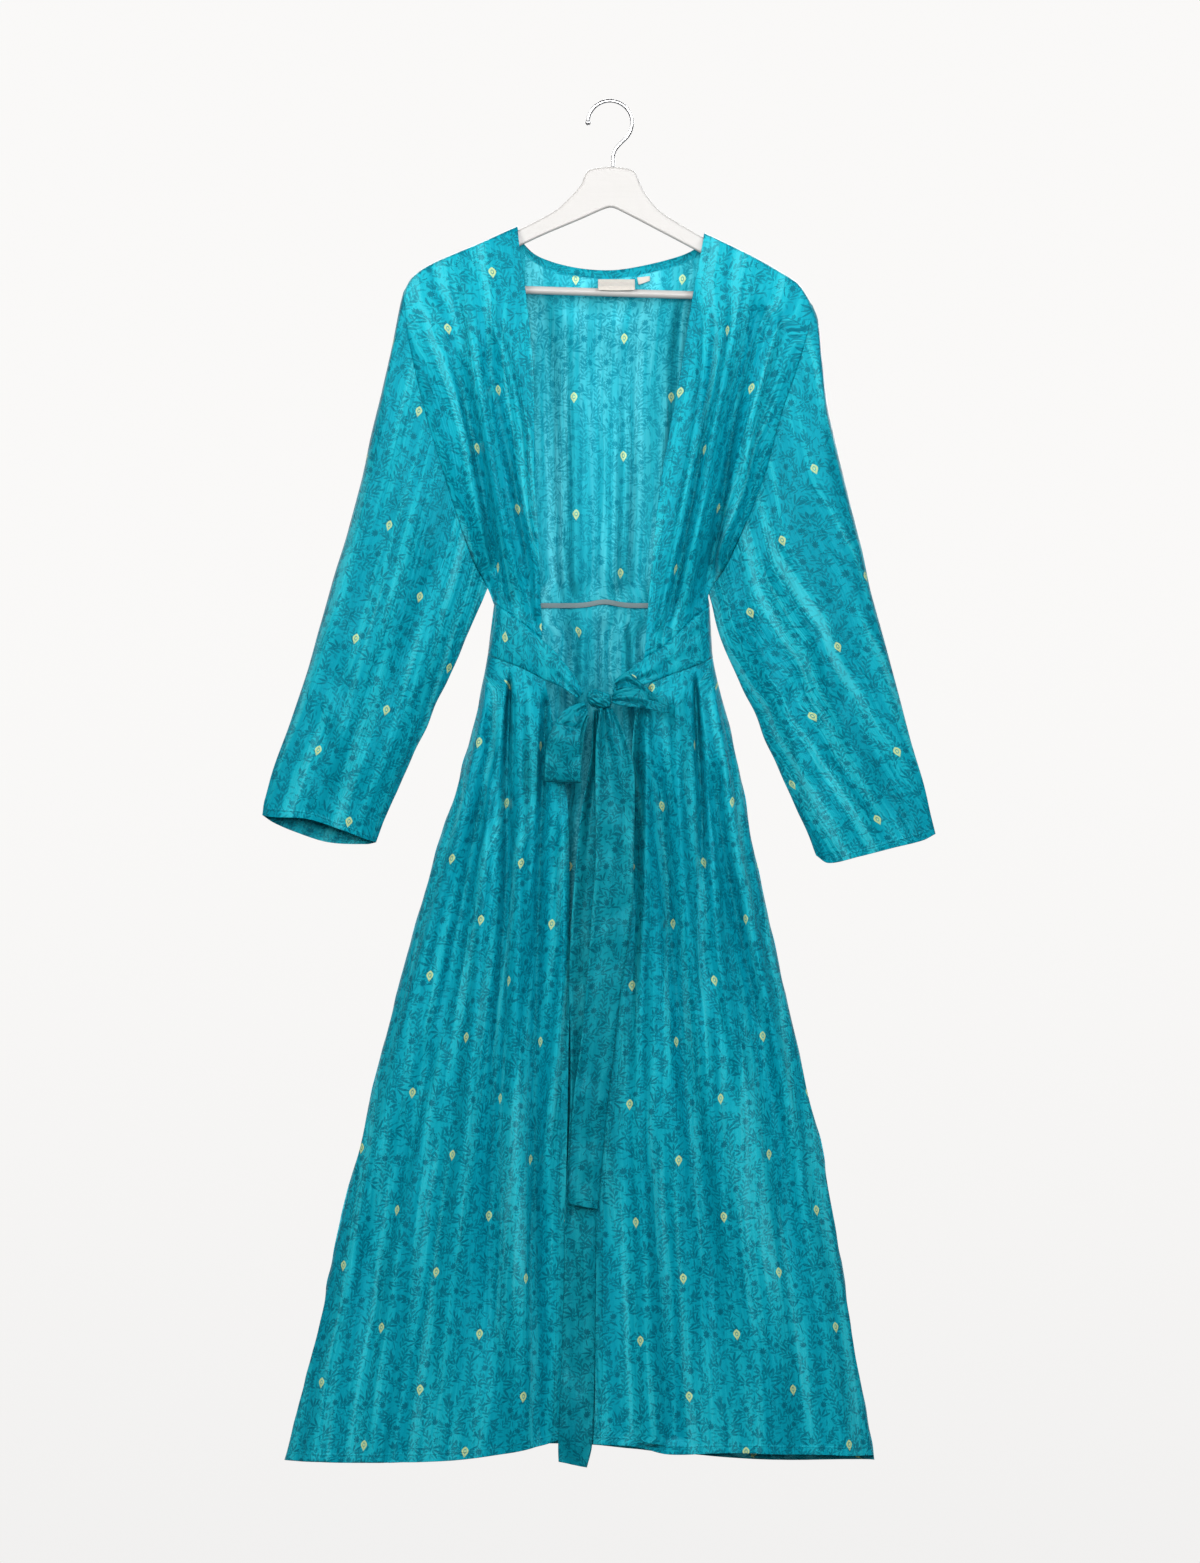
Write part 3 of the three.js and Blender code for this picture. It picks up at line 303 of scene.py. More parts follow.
# Folds of the fronts, each from top to bottom. See fold_height for the columns.
FRONT_FOLDS = [
    # bodice, left: drawn from the armhole towards the waist
    ([[-262, -166, 12, -9.1], [-296, -158, 12, -11.7], [-359, -144, 12, -14.3],
      [-487, -122, 9, -16.9]], 50, 30, 0),
    ([[-262, -145, 11, 6.5], [-296, -139, 12, 10.4], [-359, -129, 11, 10.4],
      [-500, -103, 10, 10.4]], 50, 40, 0),
    ([[-280, -127, 9, -7.8], [-359, -111, 9, -9.1], [-500, -84, 8, -7.8]], 50, 40, 0),
    ([[-232, -125, 9, 6.5], [-296, -104, 9, 9.1], [-400, -92, 9, 7.8], [-545, -78, 8, 6.5]], 40, 30, 0),
    ([[-215, -162, 10, -6.5], [-262, -153, 8, -5.2]], 30, 30, 0),
    # bodice, right
    ([[-232, 157, 13, -13], [-296, 139, 12, -15.6], [-423, 119, 10, -16.9],
      [-500, 106, 8, -16.9]], 40, 30, 0),
    ([[-232, 133, 11, 7.8], [-296, 120, 11, 10.4], [-423, 98, 10, 10.4],
      [-520, 83, 9, 9.1]], 40, 40, 0),
    ([[-240, 176, 9, 6.5], [-320, 154, 10, 9.1], [-423, 137, 9, 9.1], [-487, 117, 7, 6.5]], 40, 30, 0),
    ([[-250, 117, 9, -7.8], [-359, 99, 9, -9.1], [-487, 75, 9, -7.8], [-560, 62, 8, -6.5]], 50, 30, 0),
    ([[-232, 103, 8, 5.2], [-359, 90, 8, 6.5], [-560, 52, 8, 6.5]], 40, 30, 0),
    # skirt, left: a deep pleat under the band that parts into two troughs, and soft folds fanning out
    ([[-598, -107, 3, -12], [-624, -108, 5, -20], [-656, -110, 7, -21], [-720, -113, 10, -15],
      [-804, -114, 14, -14], [-910, -120, 15, -13], [-1122, -132, 20, -14],
      [-1250, -136, 24, -12]], 5, 150, -0.9),
    ([[-690, -127, 10, -10], [-804, -147, 13, -13], [-910, -166, 15, -11],
      [-1228, -252, 28, -8]], 60, 200, 0),
    ([[-640, -134, 9, 5], [-804, -168, 11, 7], [-910, -200, 15, 7], [-1122, -252, 20, 6],
      [-1442, -318, 26, 8]], 50, 1, 0),
    ([[-740, -129, 8, 5], [-910, -139, 12, 8], [-1122, -156, 17, 9], [-1271, -172, 20, 7]], 50, 170, 0),
    ([[-640, -96, 12, 9], [-760, -95, 12, 10], [-1016, -101, 15, 10], [-1228, -98, 20, 10],
      [-1400, -95, 24, 8]], 40, 60, 0),
    ([[-640, -66, 8, -14], [-720, -69, 9, -14], [-1016, -76, 13, -13], [-1200, -76, 14, -13],
      [-1400, -74, 14, -10]], 20, 60, 0.5),
    ([[-780, -50, 9, 8], [-910, -50, 10, 9], [-1016, -58, 10, 8], [-1122, -68, 10, 5]], 40, 80, 0),
    ([[-1016, -182, 13, 4], [-1122, -206, 15, 5], [-1380, -246, 20, 7],
      [-1442, -252, 22, 7]], 100, 1, 0),
    ([[-1150, -184, 13, -5], [-1300, -208, 16, -7], [-1442, -226, 18, -6]], 90, 1, 0),
    # skirt, right
    ([[-598, 91.5, 3, -12], [-624, 92.5, 5, -20], [-656, 94.5, 7, -21], [-720, 99, 10, -15],
      [-760, 102, 12, -10]], 5, 90, 0.9),
    ([[-740, 112, 11, -12], [-804, 122, 12, -12], [-910, 143, 14, -11],
      [-1122, 186, 22, -8]], 50, 180, 0),
    ([[-760, 97, 9, -7], [-910, 98, 10, -7]], 40, 90, 0),
    ([[-640, 114, 8, 4], [-804, 137, 11, 7], [-910, 158, 14, 7], [-1122, 198, 19, 6],
      [-1437, 252, 26, 8]], 50, 1, 0),
    ([[-820, 110, 9, 6], [-910, 116, 11, 7], [-1060, 146, 15, 7], [-1270, 174, 24, 8],
      [-1437, 178, 26, 8]], 50, 1, 0),
    ([[-640, 72, 12, 8], [-804, 76, 12, 8], [-1016, 103, 16, 8], [-1228, 128, 22, 7]], 40, 150, 0),
    ([[-740, 54, 9, -9], [-804, 58, 11, -12], [-1016, 78, 16, -13], [-1228, 108, 22, -10]], 60, 160, 0),
    ([[-640, 40, 8, 7], [-804, 38, 10, 8], [-1016, 33, 12, 8], [-1228, 36, 17, 9],
      [-1422, 42, 20, 8]], 30, 1, 0),
    ([[-1160, 56, 14, -8], [-1334, 67, 16, -10], [-1422, 70, 16, -9]], 90, 1, 0),
]

# Straight folds of the back. Columns: z, x, half width and height at the top, then x, half width
# and height at the foot, and the length over which the fold rises.
BACK_BODICE_FOLDS = [
    [-240, -120, 15, 6, -92, 11, 8, 60],
    [-240, -96, 12, -6, -76, 9, -7, 60],
    [-230, -66, 15, 5, -58, 11, 6, 50],
    [-210, -38, 12, -5, -36, 9, -6, 50],
    [-230, -14, 12, 4, -16, 9, 6, 50],
    [-200, 6, 11, -5, 4, 8, -6, 50],
    [-230, 34, 15, 5, 26, 11, 6, 50],
    [-220, 64, 12, -5, 46, 9, -6, 50],
    [-240, 94, 15, 6, 68, 11, 8, 60],
    [-250, 124, 13, -6, 86, 9, -7, 60],
]
BACK_SKIRT_FOLDS = [
    [-570, -96, 12, 7, -262, 40, 9, 30],
    [-560, -70, 9, -7, -182, 34, -9, 20],
    [-560, -48, 10, 7, -118, 34, 10, 20],
    [-560, -28, 8, -7, -58, 28, -8, 20],
    [-560, -8, 9, 7, -8, 28, 9, 20],
    [-560, 14, 8, -7, 52, 28, -8, 20],
    [-560, 34, 10, 7, 104, 32, 10, 20],
    [-560, 58, 9, -7, 162, 32, -9, 20],
    [-570, 84, 12, 7, 218, 36, 9, 30],
]


def straight_folds(rows, foot, fall):
    """Folds for fold_height that end at the height foot and die out over the length fall."""
    return [([row[:4], [foot, *row[4:7]]], row[7], fall, 0) for row in rows]


BACK_FOLDS = straight_folds(BACK_BODICE_FOLDS, -534, 20) + straight_folds(BACK_SKIRT_FOLDS, -1438, 1)

# Sleeves: outer and inner edges from the armhole to the cuff, [x, z], and the cuff's front and back
# edges from the outer to the inner end, [x, z, depth].
SLEEVE_LEFT = {
    "armhole": ARMHOLE_LEFT,
    "outer": [
        [-219.4, -201], [-223, -215], [-231, -253], [-245, -317],
        [-265, -402], [-312, -571], [-367, -741], [-369.5, -757],
    ],
    "inner": [
        [-130, -516], [-144, -550], [-163, -592], [-182, -635],
        [-210, -698], [-240, -762], [-248.5, -786],
    ],
    "front": [
        [-369.5, -757, 0], [-360, -759, 7], [-322, -761, 11],
        [-290, -771, 11], [-258, -783, 7], [-248.5, -786, 0],
    ],
    "back": [
        [-369.5, -757, 0], [-358, -765, 7], [-335, -775, 10],
        [-300, -786, 10], [-259, -788, 7], [-248.5, -786, 0],
    ],
}
SLEEVE_RIGHT = {
    "armhole": ARMHOLE_RIGHT,
    "outer": [
        [215.5, -216], [221, -231], [225, -275], [234, -338],
        [264, -465], [298, -592], [336, -735], [346, -777],
    ],
    "inner": [
        [105, -522], [119, -571], [138, -614], [157, -656],
        [174, -698], [194, -741], [219, -800],
    ],
    "front": [
        [346, -777, 0], [332, -784, 5], [300, -792, 7],
        [265, -801, 7], [232, -808, 5], [219, -800, 0],
    ],
    "back": [
        [346, -777, 0], [332, -783, 5], [300, -790, 7],
        [265, -799, 7], [232, -806, 5], [219, -800, 0],
    ],
}

# Folds along a sleeve. Columns: place across (0 outer to 1 inner) at the armhole and at the cuff,
# half width, height, and the stretch down the sleeve that it covers.
SLEEVE_FOLDS = [
    [0.16, 0.12, 0.09, 3.5, 0.1, 0.75],
    [0.34, 0.3, 0.1, -4, 0.05, 0.9],
    [0.55, 0.46, 0.1, 4.5, 0.08, 0.85],
    [0.76, 0.66, 0.1, -4, 0.1, 0.7],
    [0.9, 0.84, 0.08, 3, 0.2, 0.8],
]

# The bow. Loops run from the knot round to the knot: x and z of one edge, x and z of the other, y.
KNOT_ROUND, KNOT_HALF = 8.0, 14.0  # radius and half length of the knot's cut
KNOT = {"x": -11.5, "y": -57.5, "z": -634.5, "wide": 26.0, "deep": 17.0, "high": 19.0}
LOOP_LEFT = [
    [-27, -637, -23, -647, -61],
    [-46, -644, -28, -660, -64],
    [-59, -660, -31, -672, -67],
    [-66.5, -681, -31, -687, -68],
    [-69, -710, -31, -712, -67],
    [-69, -719, -31, -721, -64.5],
    [-68.5, -722, -31, -723, -61],
    [-68, -719, -31, -720, -57.5],
    [-66, -700, -30, -702, -56],
    [-58, -672, -27, -672, -56],
    [-38, -650, -22, -652, -56.5],
]
LOOP_RIGHT = [
    [2, -630, 2, -638, -61],
    [9, -625, 10, -641, -66],
    [24, -622, 24, -643, -70],
    [38, -629, 40, -645, -71],
    [50, -635, 54, -648, -69.5],
    [62, -640, 62, -649, -65],
    [58, -634, 57, -645, -60.5],
    [46, -628, 46, -641, -57.5],
    [33, -617, 34, -633, -55.5],
    [17, -606.5, 18, -627, -56],
    [5, -614, 7, -627, -57.5],
]

# Hanging ends of the ties. Columns: z, x of the left edge, x of the right edge, y, fold height.
TAIL_LONG = [
    [-646, -18, -8, -52, 2],
    [-699, -22, -4, -51, 3],
    [-762, -31, -4, -51, 3],
    [-826, -38, -2, -52, 2.5],
    [-911, -42.5, -2, -52, 2],
    [-1059, -42.5, -3, -53, 2],
    [-1144, -46.5, -13, -54, 2],
    [-1271, -49, -15, -54, 2],
    [-1421, -54, -18, -54, 1.5],
    [-1443, -54, -24, -54, 1],
]
TAIL_SHORT = [
    [-644, -10, 3, -61, 2],
    [-674, -14.5, 16, -64, 3],
    [-704, -15.5, 24.5, -65, 3],
    [-743, -15, 26.5, -65, 3],
    [-794, -15, 25, -65, 2.5],
    [-870, -20, 22, -64, 2],
    [-945, -26, 11, -63, 2],
    [-1059, -38, -1, -62.5, 2],
    [-1170, -45, -12, -62, 1.5],
]

# Trims: width of the tape, sides of the label, its section [y, z] from top to bottom, and the rows of
# the size tab: x and z of its left edge, then of its right edge.
TAPE = 5.3
LABEL = {"left": -12.7, "right": 26.5}
LABEL_PROFILE = [[11, -187], [7, -190], [1.5, -193.2], [-3.5, -195.6], [-7, -199.8]]
SIZE_TAB = [[29, -185, 42.5, -183.5], [29.5, -188.5, 42.5, -186], [30.5, -193, 42.5, -188.5]]

# Hanger: upper edge of the wooden body from tip to tip, its lower edge back again, bar and hook.
HANGER_UPPER = [
    [-213, -206], [-206, -192], [-190, -178], [-138, -155], [-99, -136.5], [-58.3, -115],
    [-41.3, -99.5], [-31, -87.5], [-26, -76], [-21.7, -71.5], [1, -68.5], [25.4, -72.6],
    [30, -81.6], [38, -97.5], [52, -114.5], [73, -128.5], [100, -144], [121, -153.5],
    [151, -169], [179, -185], [199, -200], [209, -217],
]
HANGER_LOWER = [
    [205, -221], [195, -213], [150, -188], [96, -159.5], [48.8, -134.6], [8, -113.5],
    [1, -111.3], [-6, -113], [-32.3, -124.5], [-68, -139.5], [-94.3, -151.6], [-150, -178],
    [-195, -201], [-208, -208],
]
ARM_THICK, ARM_ROUND = 10.0, 2.2
BAR_R = 4.3
BAR_ENDS = ([-186, -196], [184, -207.6])
WIRE_R = 2.0
HOOK_R = 23.5
HOOK_NECK = [[11, -43.5], [6, -49.5], [3.6, -56], [3.2, -62], [3.2, -68.3]]
TIP_R = 3.0


# ---------------------------------------------------------------- materials

class Value:
    """A number in a material, from a node's output, that can be added to, multiplied and so on."""

    def __init__(self, net, socket):
        self.net = net
        self.socket = socket

    def __add__(self, other):
        return self.net.math("ADD", self, other)

    def __radd__(self, other):
        return self.net.math("ADD", other, self)

    def __sub__(self, other):
        return self.net.math("SUBTRACT", self, other)

    def __rsub__(self, other):
        return self.net.math("SUBTRACT", other, self)

    def __mul__(self, other):
        return self.net.math("MULTIPLY", self, other)

    def __truediv__(self, other):
        return self.net.math("DIVIDE", self, other)

    def __abs__(self):
        return self.net.math("ABSOLUTE", self)


class Net:
    """Short ways to write a material's node tree."""

    def __init__(self, name):
        self.material = bpy.data.materials.new(name)
        self.material.use_nodes = True
        self.tree = self.material.node_tree
        self.tree.nodes.clear()

    def node(self, kind, **values):
        made = self.tree.nodes.new(kind)
        for key, value in values.items():
            setattr(made, key, value)
        return made

    def put(self, socket, value):
        if isinstance(value, Value):
            self.tree.links.new(value.socket, socket)
        elif value is not None:
            socket.default_value = value

    def fill(self, made, values, output=0):
        """Put values into a node's inputs by name or number, and return one of its outputs."""
        for key, value in values.items():
            self.put(made.inputs[key], value)
        return Value(self, made.outputs[output])

    def math(self, operation, a, b=None, clamp=False):
        return self.fill(self.node("ShaderNodeMath", operation=operation, use_clamp=clamp), {0: a, 1: b})

    def larger(self, a, b):
        return self.math("MAXIMUM", a, b)

    def step(self, value, low, high):
        """0 below low, 1 above high, smooth between; low may be the greater one."""
        made = self.node("ShaderNodeMapRange", interpolation_type="SMOOTHSTEP")
        return self.fill(made, {"Value": value, "From Min": low, "From Max": high})

    def vector(self, x, y):
        return self.fill(self.node("ShaderNodeCombineXYZ"), {0: x, 1: y})

    def split(self, vector):
        made = self.node("ShaderNodeSeparateXYZ")
        return self.fill(made, {0: vector}), Value(self, made.outputs[1])

    def cut_place(self):
        """Place on the flat cut in millimetres: x across its grain and y along it."""
        u, v = self.split(Value(self, self.node("ShaderNodeUVMap", uv_map="cloth").outputs[0]))
        return u * (1 / MM), v * (1 / MM)

    def object_place(self):
        return Value(self, self.node("ShaderNodeTexCoord").outputs["Object"])

    def attribute(self, name):
        return Value(self, self.node("ShaderNodeAttribute", attribute_name=name).outputs["Fac"])

    def noise(self, vector, scale, detail=2.0, roughness=0.5, dimensions="2D"):
        made = self.node("ShaderNodeTexNoise", noise_dimensions=dimensions)
        values = {"Vector": vector, "Scale": scale, "Detail": detail, "Roughness": roughness}
        return self.fill(made, values, "Fac")

    def grain(self, x, y, across, along, detail=2.0, roughness=0.5):
        """Noise with across and along cells to a millimetre, so that it can run with the threads."""
        return self.noise(self.vector(x * across, y * along), 1.0, detail, roughness)

    def blend(self, factor, a, b):
        return self.fill(self.node("ShaderNodeMix", data_type="RGBA"), {0: factor, 6: a, 7: b}, 2)

    def scale_colour(self, colour, factor):
        made = self.node("ShaderNodeVectorMath", operation="SCALE")
        return self.fill(made, {0: colour, "Scale": factor})

    def bump(self, height):
        """Bump from a height in millimetres."""
        return self.fill(self.node("ShaderNodeBump"), {"Strength": 1.0, "Distance": MM, "Height": height})

    def surface(self, shader, values):
        made = self.node("ShaderNodeOutputMaterial")
        self.put(made.inputs[0], self.fill(self.node(shader), values))
        return self.material

    def finish(self, colour, roughness, **sockets):
        named = {name.replace("_", " "): value for name, value in sockets.items()}
        values = {"Base Color": colour, "Roughness": roughness, **named}
        return self.surface("ShaderNodeBsdfPrincipled", values)


# Silk's colours, linear
GROUND = (0.0010, 0.290, 0.398, 1)
# painted sheen: the lighter ground laid along the sheen streaks
GROUND_PAINTED_SHEEN = (0.0070, 0.395, 0.488, 1)
MOTIF = (0.0003, 0.112, 0.172, 1)
# painted highlight: pale cyan blended over the print in flecked stripes
PAINTED_HIGHLIGHT = (0.100, 0.510, 0.585, 1)
GLOSS_TINT = (0.12, 0.90, 1.0, 1)
INSIDE = (0.010, 0.310, 0.398, 1)
# painted sheen of the inside face: its lighter ground along the streaks
INSIDE_PAINTED_SHEEN = (0.062, 0.425, 0.505, 1)
INSIDE_MOTIF = (0.003, 0.175, 0.250, 1)
BUTTI = (0.560, 0.680, 0.280)

# The small woven drops: columns and repeat of their lattice, and their size.
COLUMN, REPEAT = 57.0, 125.0
BUTTI_WIDE, BUTTI_HIGH = 7.4, 12.4

FAN = 3.0  # angle that the leaves of a sprig spread over
PETALS = 5.5  # half the teeth round a flower head
STITCH = 3.0  # pitch of the hem's stitches, of which 0.75 is thread
STITCH_LINE = HEM - 1.5  # distance of the stitching from the hemmed edge


def turned(net, x, y, angle):
    """The place x, y in axes turned by an angle."""
    c, s = net.math("COSINE", angle), net.math("SINE", angle)
    return x * c + y * s, y * c - x * s


def cell(net, x, y, size, spread, turn):
    """Nearest of scattered points: the place from it in millimetres, turned at random by up to half
    of turn either way, and a random number for its other traits."""
    made = net.node("ShaderNodeTexVoronoi", voronoi_dimensions="2D", feature="F1")
    place = net.vector(x / size, y / size)
    point = net.fill(made, {"Vector": place, "Scale": 1.0, "Randomness": spread}, "Position")
    px, py = net.split(point)
    colour = net.node("ShaderNodeSeparateColor")
    a = net.fill(colour, {0: Value(net, made.outputs["Color"])})
    lx, ly = turned(net, x - px * size, y - py * size, (a - 0.5) * turn)
    return lx, ly, Value(net, colour.outputs[1])


def distance(net, x, y):
    return net.math("SQRT", x * x + y * y)


def stem_bend(y, chance, amount):
    """Sideways bend of a stem at height y."""
    return y * y * ((chance - 0.5) * amount)


def blade(net, along, across, length, width):
    """A pointed leaf from along 0 to its length, with a light rib."""
    place = along * 2.0 / length - 1.0
    shape = (1.0 - place * place) * (width / 2)
    side = abs(across)
    leaf = net.step(side - shape, 0.22, -0.22) * net.math("GREATER_THAN", along, 0.0)
    return leaf * (1.0 - net.step(side, 0.25, 0.08) * 0.35)


def stems(net, x, y, size, spread, pitch, length, width, lean, turn):
    """Scattered bent stems with pointed leaves in turn on both sides."""
    lx, ly, b = cell(net, x, y, size, spread, turn)
    lx = lx - stem_bend(ly, b, 0.05)
    right = net.math("GREATER_THAN", lx, 0.0)
    t = (ly + b * 37.0) / pitch + right * 0.5
    up = (t - net.math("FLOOR", t)) * pitch
    out = abs(lx)
    c, s = math.cos(lean), math.sin(lean)
    leaves = blade(net, out * s + up * c, out * c - up * s, length, width)
    return net.larger(leaves, net.step(out, 0.5, 0.2))


def fans(net, x, y, size, spread, count, reach, width, turn):
    """Scattered sprigs: pointed leaves of uneven length fanning out of one place, on a bent stem."""
    lx, ly, b = cell(net, x, y, size, spread, turn)
    ly = ly + reach * 0.3
    angle = net.math("ARCTAN2", lx, ly) / (FAN / count)
    near = net.math("ROUND", angle)
    made = net.node("ShaderNodeTexWhiteNoise", noise_dimensions="2D")
    chance = net.fill(made, {"Vector": net.vector(near, b * 91.0)}, "Value")
    r = distance(net, lx, ly)
    length = (chance * 0.55 + 0.5) * reach
    leaves = blade(net, r - 1.2, (angle - near) * (FAN / count) * r, length, width)
    leaves = leaves * net.math("LESS_THAN", abs(near), count / 2 - 0.6)
    stem = net.step(abs(lx - stem_bend(ly, b, 0.09)), 0.55, 0.25) * net.step(ly, 1.0, 0.0)
    return net.larger(leaves, stem)


def blossoms(net, x, y, size, spread, radius, turn):
    """Scattered flower heads, a toothed fan of petals in a cup, some of them hollow: their mask,
    and the mask of the clear ground round them."""
    lx, ly, b = cell(net, x, y, size, spread, turn)
    lx = lx * 1.12
    r = distance(net, lx, ly)
    angle = net.math("ARCTAN2", lx, ly)
    open_side = net.math("COSINE", angle) * 0.24 + 0.72
    teeth = abs(net.math("SINE", angle * PETALS))
    rim = (open_side - teeth * 0.30) * radius
    shown = net.step(b, 0.28, 0.32)
    head = net.step(r - rim, 0.3, -0.3) * shown
    rays = abs(net.math("COSINE", angle * PETALS))
    gap = net.step(rays, 0.34, 0.10) * net.step(r, radius * 0.2, radius * 0.4)
    hollow = net.step(r, radius * 0.55, radius * 0.42) * net.step(b, 0.74, 0.78)
    light = net.larger(gap * 0.45, hollow * 0.7)
    clear = net.step(r - rim, 1.6, 0.8) * shown
    return head * (1.0 - light), clear


def filling(net, x, y, size, length, width):
    """Single small leaves strewn between the sprigs, most of them near upright."""
    lx, ly, b = cell(net, x, y, size, 1.0, 3.4)
    return blade(net, ly + length / 2, lx - stem_bend(ly, b, 0.16), length, width)


def buttis(net, x, y):
    """Small pale-yellow woven drops on a half-drop lattice: their mask, and the mask of the threads."""
    across = x / COLUMN
    column = net.math("FLOOR", across)
    odd = net.math("FLOORED_MODULO", column, 2.0)
    down = y / REPEAT + odd * 0.5
    lx = (across - column - 0.5) * COLUMN
    ly = (down - net.math("FLOOR", down) - 0.5) * REPEAT
    t = net.math("DIVIDE", ly + BUTTI_HIGH / 2, BUTTI_HIGH, clamp=True)
    belly = net.math("SINE", net.math("POWER", t, 1.4) * math.pi)
    edge = abs(lx) - belly * (BUTTI_WIDE / 2)
    tips = net.step(abs(ly), BUTTI_HIGH / 2, BUTTI_HIGH / 2 - 0.4)
    drop = net.step(edge, 0.3, -0.3) * tips
    hole = distance(net, lx / 1.5, (ly - 1.0) / 2.3)
    ring = net.step(hole, 0.55, 0.75) * net.step(hole, 1.25, 1.0)
    vein = net.step(abs(lx), 0.32, 0.14) * net.step(ly, -1.5, -2.2)
    hatch = net.step(net.math("SINE", (ly + abs(lx)) * 4.6), 0.35, 0.9)
    dark = net.larger(ring * 0.85, net.larger(vein * 0.6, hatch * 0.35))
    return drop, drop * (1.0 - dark)


def print_mask(net, x, y):
    """The tonal print: sprigs, twigs, single leaves and flower heads, each on a lattice of its own."""
    warp, sway = net.noise(net.vector(x, y), 0.03, 1.0), net.noise(net.vector(y, x), 0.03, 1.0)
    wx, wy = x + warp * 9.0, y + sway * 9.0
    sprigs = fans(net, wx, wy, size=19.0, spread=0.9, count=5, reach=13.0, width=2.2, turn=3.6)
    twigs = stems(
        net, wx + 613.0, wy - 207.0,
        size=18.0, spread=0.9, pitch=5.4, length=8.4, width=2.0, lean=0.62, turn=2.4,
    )
    strewn = filling(net, x - 311.0, y + 57.0, size=7.5, length=7.6, width=1.7)
    heads, clear = blossoms(net, wx - 157.0, wy + 411.0, size=21.5, spread=1.0, radius=6.3, turn=4.0)
    leaves = net.larger(sprigs, net.larger(twigs * 0.85, strewn * 0.6))
    return net.larger(leaves * (1.0 - clear), heads)


def stitches(net, edge_distance, along):
    """A line of short stitches beside a hemmed edge."""
    place = along / STITCH
    thread = net.step(place - net.math("FLOOR", place), 0.78, 0.70)
    return net.step(abs(edge_distance - STITCH_LINE), 0.45, 0.2) * thread


def silk(name, painted_light, sheen_paint_and_ripple=1.0, turned_print=False, inks=(GROUND, GROUND_PAINTED_SHEEN, MOTIF)):
    """Printed silk. The print lies on the cut, so it follows the grain round every fold. Sheen is also
    painted into its colour: a lighter ground and pale highlights along streaks, and the whole colour is
    scaled by a painted light factor.
    """
    net = Net(name)
    x, y = net.cut_place()
    if turned_print:
        x, y = y, x
    grain = net.grain(x, y, 2.4, 0.9)
    motif = print_mask(net, x, y) * (grain * 0.5 + 0.75)
    # Sheen streaks painted into the colour in place of highlights from the lamps; the narrow part also
    # goes into the bump.
    broad = net.grain(x, y, 0.055, 0.003) - 0.5
    narrow = net.grain(x, y, 0.30, 0.010) - 0.5
    painted_sheen_streak = broad * (1.4 * sheen_paint_and_ripple) + narrow * (0.35 * sheen_paint_and_ripple)
    ground = net.blend(net.step(painted_sheen_streak, -0.2, 0.3), inks[0], inks[1])
    print_and_painted_sheen = net.blend(net.math("MULTIPLY", motif, 0.92, clamp=True), ground, inks[2])
    fleck = net.grain(x, y, 1.1, 0.45, 3.0, 0.7)
    # Painted highlight: flecked pale stripes along the streaks, blended over the print.
    painted_highlight_mask = net.step(painted_sheen_streak + (fleck - 0.5) * 0.9, 0.06, 0.5) * 0.30
    print_and_painted_sheen = net.blend(painted_highlight_mask, print_and_painted_sheen, PAINTED_HIGHLIGHT)
    drop, threads = buttis(net, x, y)
    woven = net.grain(x, y, 1.2, 3.0, 1.0) * 0.5 + 0.75
    print_and_painted_sheen = net.blend(threads * 0.95, print_and_painted_sheen, net.scale_colour(BUTTI, woven))
    stitch = net.larger(
        stitches(net, net.attribute("side_d"), y), stitches(net, net.attribute("hem_d"), x)
    )
    # Painted light and shade: brighter along the sheen streaks and scaled by the piece's own painted
    # light factor; the stitches darker.
    painted_light_and_stitches = (painted_sheen_streak * 0.25 + 1.0) * painted_light * (1.0 - stitch * 0.35)
    crepe = net.grain(x, y, 0.8, 0.35, 3.0, 0.65)
    weave = net.grain(x, y, 3.0, 3.0, 1.0)
    height = crepe * 0.22 + weave * 0.05 + drop * 0.10 + narrow * (0.8 * sheen_paint_and_ripple) - stitch * 0.12
    return net.finish(
        net.scale_colour(print_and_painted_sheen, painted_light_and_stitches), grain * 0.10 + 0.27,
        Normal=net.bump(height), Specular_IOR_Level=0.40, Specular_Tint=GLOSS_TINT,
    )


def tape_material():
    """Grey twill tape."""
    net = Net("tape")
    x, y = net.cut_place()
    twill = net.math("SINE", (x + y) * 4.2)
    fleck = net.noise(net.vector(x, y * 2.0), 1.1, 3.0)
    colour = net.scale_colour((0.25, 0.34, 0.36), twill * 0.10 + 0.72 + fleck * 0.5)
    return net.finish(colour, 0.85, Normal=net.bump(twill * 0.12))


def label_material():
    """Ribbed cream label, with nothing woven into it."""
    net = Net("label")
    x, y = net.cut_place()
    ribs = net.math("SINE", y * 11.0) * net.math("SINE", x * 7.0)
    tone = net.noise(net.vector(x, y), 0.25, 3.0)
    colour = net.scale_colour((0.71, 0.665, 0.605), ribs * 0.04 + 0.88 + tone * 0.2)
    return net.finish(colour, 0.7, Normal=net.bump(ribs * 0.08), Sheen_Weight=0.2)


def paint_material():
    """Matt paint over wood, its grain running along the arms."""
    net = Net("wood_white")
    stretch = net.node("ShaderNodeMapping")
    along_arms = net.fill(stretch, {0: net.object_place(), "Scale": (20, 400, 260)})
    grain = net.noise(along_arms, 1.0, 3.0, dimensions="3D")
    colour = net.blend(grain, (0.50, 0.488, 0.474, 1), (0.55, 0.536, 0.521, 1))
    return net.finish(colour, grain * 0.12 + 0.32, Normal=net.bump(grain * 0.05), Coat_Weight=0.15)


